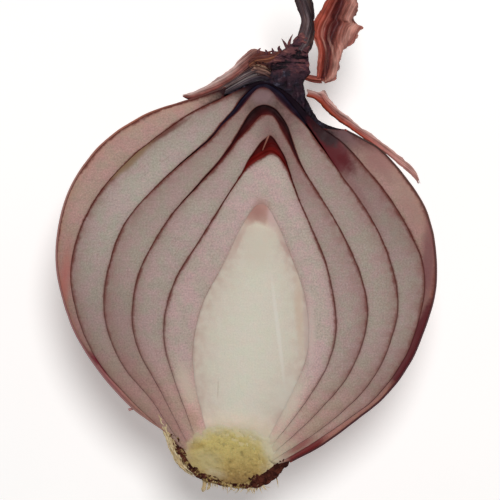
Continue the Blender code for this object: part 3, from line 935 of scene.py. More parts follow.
FLESH = {
    "scale_1": Flesh(
        (168, 140, 131),
        [(0.0, 0.6), (0.12, 0.65), (0.22, 0.38), (0.3, 0.1), (0.46, 0.06), (0.56, 0.1), (0.66, 0.25),
         (0.72, 0.65), (0.8, 0.85), (0.86, 0.6), (0.92, 0.55), (1.0, 0.7)],
        [(0.45, 0.0), (0.49, 0.6), (0.51, 0.75), (0.54, 0.4), (0.58, 0.0)],
        (1.0, 1.2), {"Rim Tone": tone(164, 112, 92), "Inner Line": 1.6},
        [(98, 28, 30, 0.95, 11.6, -37.2, 6.6, 2.8, 32, 0.6, 0.7),
         (112, 68, 70, 0.8, 36.6, 2.0, 14.0, 2.2, 88, 0.8, 0.6),
         (84, 30, 34, 1.0, 33.2, -16.2, 13.0, 1.7, 65, 0.5, 0.6),
         (88, 36, 38, 0.95, 24.3, -30.4, 13.0, 0.75, 38, 0.6, 0.7),
         (70, 40, 36, 0.9, 22.6, 25.0, 5.4, 1.1, -38, 0.7, 0.7),
         # Painted shade of the hollow under the neck
         (44, 24, 26, 1.0, -4.3, 34.8, 1.6, 1.3, 40, 0.5, 0.2),
         (64, 38, 36, 0.9, 20.2, 26.4, 3.6, 0.8, -14, 0.6, 0.5),
         (160, 92, 84, 0.7, -36.2, -3.0, 11.0, 1.8, 84, 0.9, 0.6),
         (150, 88, 92, 0.8, -28.6, -22.8, 13.0, 1.4, -49, 0.7, 0.5),
         (98, 26, 38, 1.0, -26.4, -22.8, 11.0, 0.8, -46, 0.6, 0.6),
         (112, 84, 86, 0.8, 20.0, 25.6, 5.0, 2.0, -38, 0.8, 0.9),
         (138, 96, 92, 0.75, 26.4, 20.6, 9.0, 4.2, -48, 0.9, 0.8),
         (148, 112, 104, 0.6, 32.8, 12.0, 9.0, 3.2, -62, 0.9, 0.8)]),
    "scale_2": Flesh(
        (166, 154, 147),
        [(0.0, 0.5), (0.1, 0.48), (0.18, 0.34), (0.26, 0.12), (0.32, 0.0), (0.4, 0.1), (0.6, 0.7),
         (0.67, 0.4), (0.8, 0.12), (0.87, 0.35), (0.92, 0.15), (1.0, 0.4)],
        [(0.45, 0.0), (0.47, 0.5), (0.49, 1.0), (0.56, 1.0), (0.58, 0.3), (0.61, 0.0)],
        (1.6, 3.0), {"Line Reach": 0.55, "Rim Share": 0.76},
        [(84, 20, 26, 1.0, 17.0, 23.2, 8.4, 3.6, -53, 0.5, 0.6),
         # Painted shade: the near-black end of the hollow under the neck
         (44, 18, 22, 1.0, 15.6, 26.8, 5.0, 2.4, -52, 0.4, 0.5),
         (50, 28, 28, 0.9, 20.6, 23.8, 7.0, 1.1, -46, 0.6, 0.8),
         (120, 56, 54, 0.7, 10.6, -36.4, 5.0, 1.2, 32, 0.8, 0.8),
         (126, 84, 84, 0.4, 22.2, 14.6, 9.0, 1.4, -56, 0.9, 0.8),
         (126, 100, 74, 0.85, -22.6, 21.0, 9.5, 1.2, 43, 0.8, 0.7),
         (96, 54, 44, 0.8, -15.4, 26.6, 7.0, 0.7, 33, 0.9, 0.8)]),
    "scale_3": Flesh(
        (160, 145, 138),
        [(0.0, 0.3), (0.1, 0.4), (0.18, 0.28), (0.26, 0.08), (0.42, 0.16), (0.47, 0.5), (0.54, 0.5),
         (0.58, 0.12), (0.8, 0.0), (0.88, 0.15), (1.0, 0.1)],
        [(0.45, 0.0), (0.48, 0.4), (0.515, 0.5), (0.55, 0.3), (0.59, 0.0)],
        (2.0, 2.4), {"Rim Share": 0.7},
        [(124, 98, 100, 0.8, 3.4, 33.4, 3.6, 2.2, 0, 0.8, 0.7),
         # Painted shade: the blue-black hollow under the neck
         (38, 34, 44, 0.95, 8.0, 33.0, 4.0, 1.5, -42, 0.6, 0.7)]),
    "scale_4": Flesh(
        (165, 149, 143),
        [(0.0, 0.2), (0.06, 0.26), (0.2, 0.16), (0.32, 0.06), (0.46, 0.16), (0.5, 0.68), (0.55, 0.55),
         (0.62, 0.14), (0.86, 0.06), (0.94, 0.05)],
        [],
        (1.1, 2.6), {"Rim Share": 0.74},
        [(190, 180, 164, 0.3, 8.6, -31.6, 5.0, 2.0, 52, 0.9, 0.8)]),
    "scale_5": Flesh(
        (174, 155, 150),
        [(0.0, 0.0), (0.2, 0.1), (0.5, 0.03), (0.84, 0.0)],
        [],
        (0.8, 1.0), {"Inner Tone": tone(160, 128, 118), "Inner Share": 0.6, "Inner Line": 9.0},
        [(156, 118, 110, 0.7, 3.0, 11.4, 3.2, 2.6, 80, 0.9, 0.6),
         (158, 120, 112, 0.4, 8.2, 2.2, 4.5, 1.2, -62, 0.8, 0.8),
         (190, 180, 164, 0.7, 8.4, -27.6, 9.0, 3.4, 66, 0.8, 0.6),
         (190, 170, 163, 0.6, 13.0, -13.4, 11.0, 1.3, 91, 0.9, 0.5),
         (184, 170, 154, 0.7, -12.0, -24.0, 6.0, 2.6, -70, 0.9, 0.7),
         (150, 106, 90, 0.35, -10.6, -31.0, 4.0, 2.6, -60, 0.9, 0.9)]),
    "heart": Flesh(
        (199, 194, 180),
        [(0.0, 0.0), (0.8, 0.0)],
        [],
        None,
        {"Line Tone": tone(146, 122, 114), "Rim Tone": tone(176, 154, 142), "Rim Reach": 3.4,
         "Rim Share": 0.85, "Line Reach": 0.3, "Mottling": 0.3, "Vein Share": 0.04},
        [(190, 180, 164, 0.7, 2.6, 3.6, 7.5, 5.0, 90, 0.9, 0.3),
         (206, 200, 190, 0.6, 6.4, -13.2, 15.0, 0.6, 97, 0.7, 0.4),
         (186, 166, 148, 0.7, 10.6, -9.0, 12.0, 1.3, 92, 0.8, 0.6),
         (176, 156, 148, 0.7, 12.2, -13.0, 12.0, 1.0, 92, 0.8, 0.6),
         (160, 124, 118, 0.5, 8.0, 3.0, 3.2, 0.8, -60, 0.8, 0.8),
         (193, 185, 172, 0.75, 8.0, -25.6, 6.6, 2.6, 62, 0.8, 0.5),
         (168, 152, 136, 0.45, -5.6, -25.0, 3.0, 0.22, 88, 0.8, 0.6),
         (164, 150, 136, 0.5, 10.0, -27.0, 6.0, 0.26, 60, 0.8, 0.6)],
        [(162, 122, 112, 1.0, 2.4, 10.4, 4.6, 4.6, 0, 0.6, 0.5),
         (146, 100, 92, 0.6, 2.2, 10.0, 1.8, 2.4, 0, 0.9, 0.8),
         (184, 156, 152, 0.8, 5.2, 9.2, 1.5, 3.4, 10, 0.7, 0.6),
         (176, 148, 138, 0.7, -1.4, 4.6, 7.0, 1.5, 58, 0.9, 0.6),
         (176, 150, 140, 0.7, 7.2, 5.6, 5.0, 1.4, -62, 0.9, 0.6)]),
}

# The heart's rounded top
ROUND_TOP = (2.2, -2.0, 11.0, 4.6, 90, 0.16, 0.15)

# How strongly the red lines show along a scale and along the heart
SCALE_LINES = [(0.0, 0.0), (0.06, 0.05), (0.14, 0.4), (0.24, 0.85), (0.45, 1.0), (0.55, 1.0),
               (0.75, 0.8), (0.86, 0.4), (0.94, 0.1), (1.0, 0.0)]
HEART_LINES = [(0.0, 0.0), (0.25, 0.2), (0.6, 0.5), (0.9, 0.3), (1.0, 0.0)]

# A ramp goes up to 1, so it holds the reach of a rim's tint as a share of this
WIDEST_RIM = 8.0


def flesh(name, lines):
    """Flesh whose tint changes along the scale, with its own stains."""
    look = FLESH[name]

    def fill(nodes):
        course = nodes.mark("course")
        given = {"Tone": tone(*look.pale), "Pigment Share": nodes.ramp(course, look.pigment),
                 "Line Share": nodes.ramp(course, lines), "Pigment": colour("pigment"),
                 "Rim Tone": colour("rim"), "Line Tone": colour("line"),
                 "Dried And Shade Tone": colour("dried"), "Root Tone": colour("root"), **look.values}
        if look.dried:
            given["Dried And Shade Share"] = nodes.ramp(course, look.dried)
        if look.sides:
            left, right = (reach / WIDEST_RIM for reach in look.sides)
            given["Rim Reach"] = nodes.ramp(course, [(0.5, left), (0.57, right)]) * WIDEST_RIM
        made = cut_flesh(nodes, given)
        tint = stained(nodes, made["Colour"], look.top_stains, ROUND_TOP)
        return stained(nodes, tint, look.stains), made["Roughness"], made["Height"]
    return finish(name + "_flesh", fill, bump=0.05, soft=0.25, specular=0.1)


class ONION_OT_scales(Operator):
    """Build the five fleshy scales, each a cup around the next"""

    bl_idname = "onion.scales"
    bl_label = "Fleshy Scales"

    def execute(self, _context):
        gap = size("gap") / 2
        second_open = Sides(SECOND.left[:-2], SECOND.right[:-3])
        rings = [("scale_1", TUNIC, size("skin") + gap, second_open, -gap, "outer_flesh"),
                 ("scale_2", SECOND, gap, SECOND_INSIDE, -gap, "flesh"),
                 ("scale_3", THIRD, gap, THIRD_INSIDE, -gap, "flesh"),
                 ("scale_4", FOURTH, gap, FOURTH_INSIDE, -gap, "flesh"),
                 ("scale_5", FIFTH, gap, HEART, gap, "inner_flesh")]
        for name, outer, apart, inner, inner_apart, slot in rings:
            piece = cup(inset(edges(outer), apart), inset(edges(inner), inner_apart),
                        sharp=0.5 if name == "scale_5" else 1.0,
                        floors=(0.6 if name == "scale_1" else None, None))
            sink_foot(piece)
            waver(piece)
            piece.build(name + "_cut", flesh(name, SCALE_LINES), slot, [name])
        return {"FINISHED"}


class ONION_OT_heart(Operator):
    """Build the pale heart with the faint lines of its inner leaves"""

    bl_idname = "onion.heart"
    bl_label = "Heart"

    def execute(self, _context):
        piece = solid(inset(edges(HEART), -size("gap") / 2), columns=80, sharp=0.5)
        sink_foot(piece)
        waver(piece)
        piece.build("heart_cut", flesh("heart", HEART_LINES), "heart_flesh", ["heart"])
        return {"FINISHED"}


# The outer skin

TUNIC_EDGE = tones([
    (0.0, 140, 106, 96), (0.1, 134, 92, 94), (0.3, 146, 106, 98), (0.4, 146, 88, 70),
    (0.46, 96, 46, 38), (0.5, 60, 34, 32), (0.53, 56, 30, 26), (0.57, 76, 48, 42),
    (0.62, 92, 60, 52), (0.7, 88, 56, 54), (0.8, 72, 36, 42), (1.0, 66, 32, 34)])


def skin_look(nodes):
    made = dry_skin(nodes, {
        "Ground": colour("skin"), "Second": tone(148, 74, 62), "Pale": tone(176, 122, 104),
        "Vein": colour("vein"), "Fibre Width": 0.7, "Fibre Length": 40.0,
        "Patch Fineness": 0.11, "Worn Share": 0.35, "Vein Share": 0.75})
    edge = nodes.between(nodes.mark("below"), 1.0, 0.0)
    tint = nodes.mix(edge, made["Colour"], nodes.ramp(nodes.mark("course"), TUNIC_EDGE))
    return tint, nodes.math("ADD", made["Roughness"], edge * 0.5, clamp=True), made["Height"]


class ONION_OT_tunic(Operator):
    """Build the veined outer skin"""

    bl_idname = "onion.tunic"
    bl_label = "Outer Skin"

    def execute(self, _context):
        outer = edges(TUNIC)
        turn = np.linspace(0.0, 1.0, FINE_ROUND + 1)
        along = along_of((outer.left + outer.right) / 2)
        grid = grid_of(turn * 100, along[:, None], 0.0)
        veins = size("vein") * rough_noise(grid, (0.9, 30.0, 1.0), 2.0, 2)
        veins = veins + 0.12 * noise(grid, (9.0, 14.0, 1.0), 5.0)
        veins = veins * smooth_step(np.sin(turn * math.pi), 0.0, 0.12)
        piece = cup(outer, inset(outer, size("skin")), steps=FINE_ROUND, columns=6, crown=0.0,
                    swell=veins, floors=(0.0, 0.45))
        waver(piece)
        skin = finish("outer_skin_dry", skin_look, bump=0.06, coat=0.08, specular=0.25)
        piece.build("tunic_skin", skin, "outer_skin", ["tunic"])
        return {"FINISHED"}


# Root plate, cork and root fibres

PLATE_STAINS = [
    (172, 158, 114, 0.8, -7.6, -39.4, 4.2, 3.2, -20, 0.7, 0.7),
    (182, 176, 142, 0.6, 5.0, -36.6, 3.0, 2.2, 70, 0.8, 0.6),
    (176, 162, 130, 0.7, -6.0, -42.0, 3.4, 1.4, -16, 0.8, 0.7),
    (150, 122, 62, 0.5, -10.4, -36.4, 3.4, 1.2, 10, 0.8, 0.8)]


def plate_look(nodes):
    place = nodes.place()
    height = nodes.axis(place, "Y")
    low = nodes.between(height, -35.0, -43.5)
    ground = nodes.mix(low, tone(175, 158, 98), tone(148, 122, 72))
    made = crumb(nodes, {"Ground": ground, "Second": nodes.scaled(ground, 1.15),
                         "Pit": nodes.scaled(ground, 0.6), "Fleck": tone(204, 194, 148),
                         "Fineness": 1.5})
    # Painted shade: the low spots of the plate's crumbly relief are darker
    hollow = nodes.between(nodes.mark("relief"), 0.32, 0.1)
    tint = nodes.mix(hollow, made["Colour"], nodes.scaled(ground, 0.66))
    tint = stained(nodes, tint, PLATE_STAINS)
    side = nodes.between(nodes.axis(place, "X"), -13.0, -6.0)
    upper = nodes.mix(side, tone(166, 142, 124), tone(190, 180, 156))
    tint = nodes.mix(spot(nodes, *ROOT_GLOW), upper, tint)
    rim = nodes.between(height, -41.0, -44.0)
    tint = nodes.mix(rim * 0.6, tint, tone(112, 84, 50))
    return tint, made["Roughness"], made["Height"]


def cork_look(nodes):
    place = nodes.place()
    made = crumb(nodes, {
        "Ground": tone(46, 20, 17), "Second": tone(82, 42, 32), "Pit": tone(14, 6, 6),
        "Fleck": tone(126, 66, 54), "Fineness": 1.5, "Fleck Share": 0.4})
    crumbs = crumb(nodes, {
        "Ground": tone(138, 114, 66), "Second": tone(166, 144, 98), "Pit": tone(84, 56, 32),
        "Fleck": tone(206, 192, 150), "Fineness": 1.5})
    side = nodes.axis(place, "X")
    middle = nodes.between(side, -11.0, -7.0) * nodes.between(side, 3.2, 0.2)
    patch = nodes.noise(place, 1.0, 4.0, 0.65) + middle * 0.05
    patch = patch + nodes.between(side, 1.2, 3.8, 0.0, -0.35)
    tint = nodes.mix(nodes.between(patch, 0.5, 0.64), made["Colour"], crumbs["Colour"])
    # Painted highlight: the highest lumps of the cork turn a lighter red-brown
    high = nodes.between(nodes.mark("relief"), 0.7, 0.9, 0.0, 0.35)
    return nodes.mix(high, tint, tone(96, 52, 44)), made["Roughness"], made["Height"]


def straw_look(nodes):
    made = dry_skin(nodes, {
        "Ground": colour("straw"), "Second": tone(176, 152, 112), "Pale": tone(224, 212, 184),
        "Vein": tone(124, 94, 60), "Fibre Width": 0.15, "Fibre Length": 3.0,
        "Patch Fineness": 0.4, "Worn Share": 0.5, "Vein Share": 0.4})
    foot = nodes.between(nodes.mark("course"), 0.0, 0.12, 0.6, 1.0)
    return nodes.scaled(made["Colour"], foot), made["Roughness"], made["Height"]


# Strands that lie along the left of the root, then single thicker root ends
STRAW_STRAND = [(-17.8, -29.2), (-17.0, -31.2), (-16.2, -33.2), (-15.4, -35.2),
                (-14.6, -37.2), (-13.7, -39.2), (-12.2, -41.2), (-10.2, -42.8)]
ROOT_ENDS = [
    ([(-8.2, -42.6, 1.2), (-8.3, -44.2, 1.0), (-8.7, -45.8, 1.2)], 0.5),
    ([(-7.6, -42.6, 2.4), (-7.4, -44.6, 2.4), (-7.9, -45.6, 2.8)], 0.3)]

# How many fibres lie in the strand, of which some run its whole length, and its points
STRAWS = 90
LONG_STRAWS = 3
STRAND_STEPS = 40

# How many short hairs stand on the cork, of which most at its cut edge. They point away from the
# root's hub, no further than the root's reach.
HAIRS = 100
EDGE_HAIRS = 75
ROOT_HUB = (-3.0, -34.0, FACE)
ROOT_REACH = -46.2

# Points along the cork, and along its rim for the hairs
CORK_STEPS = 180
RIM_STEPS = 100

# In millimetres: how far the plate's rim dips, its crumbs at the rim, in the middle and at the
# foot, and the cork's lumps, its grains to the side, up and in depth, and its highest point
PLATE_DIP = 0.17
PLATE_CRUMBS = (0.07, 0.08, 0.1)
CORK_LUMPS = 0.42
CORK_GRAINS = (0.3, 0.3, 0.2)
CORK_TOP = 0.4


def add_straw(piece, draw, strand, index):
    """A dried root fibre in the strand. The first ones run along all of it."""
    long = index < LONG_STRAWS
    first = 0 if long else int(draw.integers(4, 30))
    last = STRAND_STEPS if long else min(STRAND_STEPS, first + int(draw.integers(5, 12)))
    aside = float(np.clip(draw.normal(0.15, 0.3), -0.4, 0.8))
    down = abs(draw.normal(0.0, 0.35)) + 0.3 * abs(aside)
    spots = []
    for place in np.linspace(first, last, 7).astype(int):
        x, y = strand[place]
        lean = aside * min(1.0, place / 14) + draw.normal(0.0, 0.09)
        height = FACE + 0.15 - down + draw.normal(0.0, 0.08)
        spots.append((x + lean, y + lean * 0.5, height))
    thin = 0.2 if long else draw.uniform(0.07, 0.17)
    add_fibre(piece, spots, thin, seed=index, steps=24)


def add_hair(piece, draw, rim, index):
    """A short hair on the cork, at its cut edge or further round."""
    edge = index < EDGE_HAIRS
    turn = (draw.choice([-0.02, 1.02]) + draw.normal(0.0, 0.02) if edge
            else draw.uniform(0.02, 0.98)) * math.pi
    row = draw.integers(62 if edge else 20, RIM_STEPS)
    left, right = rim.left[row], rim.right[row]
    half = (right - left) / 2
    foot = (left + right) / 2 + half * math.cos(turn)
    deep = size("roundness") * np.linalg.norm(half) * max(math.sin(turn), 0.0)
    base = np.array([*foot, FACE - deep - 0.4])
    away = (base - ROOT_HUB) / np.linalg.norm(base - ROOT_HUB)
    reach = draw.uniform(0.3, 1.0) if edge else draw.uniform(0.6, 1.5)
    bend = draw.normal(0.0, 0.6, 3)
    spots = [base - away * 0.6]
    for share in np.linspace(0.25, 1.0, 4):
        spots.append(base + away * reach * share + bend * reach * share ** 2)
    spots = np.array(spots)
    spots[:, 2] = np.minimum(spots[:, 2], FACE + 0.3)
    spots[:, 1] = np.maximum(spots[:, 1], ROOT_REACH)
    thin = draw.uniform(0.05, 0.11) if edge else draw.uniform(0.08, 0.2)
    add_fibre(piece, spots, thin, seed=30 + index, steps=10)


class ONION_OT_root(Operator):
    """Build the yellow root plate, its dark cork and the dried root fibres"""

    bl_idname = "onion.root"
    bl_label = "Root"

    def execute(self, _context):
        self.build_plate()
        self.build_cork()
        self.build_fibres()
        return {"FINISHED"}

    def build_plate(self):
        piece = solid(edges(PLATE), columns=104, steps=48, crown=0.0)
        points = piece.points()
        top = 1 - smooth_step(FACE - points[:, 2], 0.2, 2.0)
        relief = rough_noise(points * (1, 1, 0), (0.9, 0.9, 1.0), 3.0, 4)
        upper = smooth_step(points[:, 1], -41.0, -38.0)
        depth = plate_depth(points)
        dip = PLATE_DIP * upper * (1 - smooth_step(depth, 0.1, 0.5))
        rim, middle, foot = PLATE_CRUMBS
        rough = rim + middle * smooth_step(depth, 0.2, 0.8)
        rough = rough + foot * smooth_step(points[:, 1], -37.0, -41.0)
        points[:, 2] += top * (rough * relief - 0.02 - dip)
        piece.move(stray(points), 0.5 + 0.4 * relief)
        crumbs = finish("root_plate_crumb", plate_look, bump=0.15, soft=0.15, specular=0.25)
        piece.build("root_plate_cut", crumbs, "root_plate_flesh", ["root_plate"])

    def build_cork(self):
        under = edges(Sides(PLATE.left[3:], PLATE.right[4:]), CORK_STEPS)
        reach = smooth_step(np.linspace(0.0, 1.0, CORK_STEPS + 1)[:, None], 0.1, 0.6)
        within = Sides(inset(under, -0.4).left,
                       under.right + reach * (inset(under, -0.6).right - under.right))
        piece = cup(edges(CRUST, CORK_STEPS), within, steps=105, columns=26, crown=0.0)
        points = piece.points()
        lumps = rough_noise(points, 0.9, 2.0, 3)
        for axis, height in enumerate(CORK_GRAINS):
            points[:, axis] += height * rough_noise(points, 1.0, 1.0 + 5.0 * axis, 4)
        points[:, 2] = np.minimum(points[:, 2] + CORK_LUMPS * lumps - 0.05, FACE + CORK_TOP)
        piece.move(points, 0.5 + 0.4 * lumps)
        cork = finish("root_cork_dark", cork_look, bump=0.25, specular=0.05)
        piece.build("root_cork_crust", cork, "root_cork", ["root_crust"])

    def build_fibres(self):
        draw = np.random.default_rng(5)
        piece = Piece()
        strand = smooth_line(STRAW_STRAND, STRAND_STEPS)
        for index in range(STRAWS):
            add_straw(piece, draw, strand, index)
        rim = edges(CRUST, RIM_STEPS)
        for index in range(HAIRS):
            add_hair(piece, draw, rim, index)
        for index, (knots, thick) in enumerate(ROOT_ENDS):
            add_fibre(piece, below_face(knots), thick, sides=8, seed=200 + index, thick=0.8)
        straw = finish("root_straw", straw_look, bump=0.04, specular=0.2)
        piece.build("root_fibres", straw, "root_cork", [])


# The dried neck


def neck_look(nodes):
    place = nodes.place()
    fine = nodes.noise(nodes.times(place, (0.8, 1.8, 1.0)), 1.0, 4.0, 0.7)
    patch = nodes.between(nodes.noise(place, 2.4, 3.0, 0.6), 0.42, 0.58)
    # Painted light and shade: the neck is near-black deep in its folds and takes the light tones on their
    # ridges
    ridge_shading = nodes.mark("relief") + (fine - 0.5) * 1.8
    upper = nodes.between(nodes.axis(place, "Y") + patch * 1.2, 38.0, 40.8)

    def patchy(*tints):
        low, low_patch, high, high_patch = (tone(*tint) for tint in tints)
        return nodes.mix(upper, nodes.mix(patch, low, low_patch),
                         nodes.mix(patch, high, high_patch))
    light = patchy((66, 63, 76), (66, 48, 55), (136, 90, 82), (112, 64, 62))
    middle = patchy((30, 24, 34), (44, 27, 36), (90, 54, 57), (68, 42, 50))
    tint = nodes.mix(nodes.between(ridge_shading, 0.25, 0.55), tone(20, 12, 18), middle)
    tint = nodes.mix(nodes.between(ridge_shading, 0.62, 1.0), tint, light)
    return tint, nodes.between(fine, 0.3, 0.7, 0.5, 0.7), fine


# Short stiff fibres on the neck's torn edge
NECK_HAIRS = [
    ([(8.4, 43.0, 0.8), (7.7, 44.3, 0.6), (7.1, 45.2, 0.8)], 0.42),
    ([(8.5, 43.4, 0.8), (8.8, 44.8, 0.5), (9.4, 46.1, 0.6)], 0.32),
    ([(9.8, 44.2, 1.0), (10.2, 45.2, 0.8), (10.7, 46.0, 1.0)], 0.5),
    ([(5.8, 41.8, 0.9), (5.4, 42.7, 0.7), (5.2, 43.4, 0.9)], 0.4),
    ([(4.0, 41.8, 0.8), (4.1, 42.5, 0.6), (3.8, 43.0, 0.8)], 0.4),
    ([(2.4, 42.2, 0.8), (2.6, 42.9, 0.6), (3.0, 43.3, 0.8)], 0.32),
    ([(7.0, 42.4, 1.0), (6.6, 43.2, 0.8), (6.8, 43.8, 1.0)], 0.45)]


# Points along the neck. In millimetres: how high its folds stand, how far its surface wanders to
# the side and up, and how far its outer edge and its left side dip
NECK_STEPS = 200
NECK_FOLD = 0.42
NECK_WANDER = (0.22, 0.1)
NECK_EDGE_DIP = 0.8
NECK_SIDE_DIP = 0.5


class ONION_OT_neck(Operator):
    """Build the wrinkled dry neck with the stiff fibres of its torn edge"""

    bl_idname = "onion.neck"
    bl_label = "Neck"

    def execute(self, _context):
        inside = inset(edges(NECK_INSIDE, NECK_STEPS), -0.05)
        piece = cup(edges(NECK, NECK_STEPS), inside, steps=72, columns=68, crown=0.0)
        points = piece.points()
        share = np.concatenate(piece.marks["across"])
        flat = points * (1, 1, 0.5)
        top = 1 - smooth_step(FACE - points[:, 2], 0.4, 2.5)
        band = smooth_step(points[:, 1] + 0.12 * points[:, 0], 38.4, 40.6)
        wrinkles = rough_noise(flat, (2.8, 1.1, 3.0), 1.0, 4)
        fibres = rough_noise(flat, (0.6, 4.0, 2.0), 6.0, 3)
        twists = rough_noise(flat, (1.5, 1.8, 2.0), 21.0, 3)
        fold = band * wrinkles + (1 - band) * (0.45 * fibres + 0.4 * twists)
        points[:, 2] += top * (NECK_FOLD * fold - 0.17)
        points[:, 0] += NECK_WANDER[0] * rough_noise(flat, (2.2, 1.0, 2.0), 9.0, 3)
        points[:, 1] += NECK_WANDER[1] * rough_noise(flat, (1.2, 2.2, 2.0), 14.0, 3)
        points[:, 2] -= top * (1 - share) ** 6 * NECK_EDGE_DIP
        points[:, 2] -= top * NECK_SIDE_DIP * smooth_step(6.0 - points[:, 0], 0.0, 4.0)
        piece.move(points, 0.5 + 0.4 * fold)
        dry = finish("neck_dry", neck_look, bump=0.14, specular=0.08)
        piece.build("neck_core", dry, "dry_neck", ["neck"])
        piece = Piece()
        for index, (knots, thick) in enumerate(NECK_HAIRS):
            add_fibre(piece, below_face(knots), thick, seed=index, steps=20, thick=0.3)
        # A high relief mark gives the hairs the neck's painted ridge light
        piece.move(piece.points(), np.full(piece.count, 0.7))
        piece.build("neck_hairs", dry, "dry_neck", [])
        return {"FINISHED"}


# Torn dry skin

# A sheet between two edges of x, y and depth below the face: its folds across, the tones across,
# thickness, raggedness of its four edges, ribs, creases, worn and veined shares, grid, gloss and
# the tone that it takes at its end
Sheet = namedtuple(
    "Sheet", "name nodes slot first second profile stops thick torn ribs rib_width crumple"
    " worn veins shape gloss late", defaults=((150, 36), 0.15, None))


def shaded_web(name, shape, first, second, profile, stops):
    """A thin dark sheet in a hollow under the neck; its dark tones are painted shade of the hollow."""
    return Sheet(name, [], "flesh", first, second, profile, stops, 0.15, (0.0,) * 4, 0.1, 0.5,
                 0.1, 0.0, 0.5, shape, 0.02)


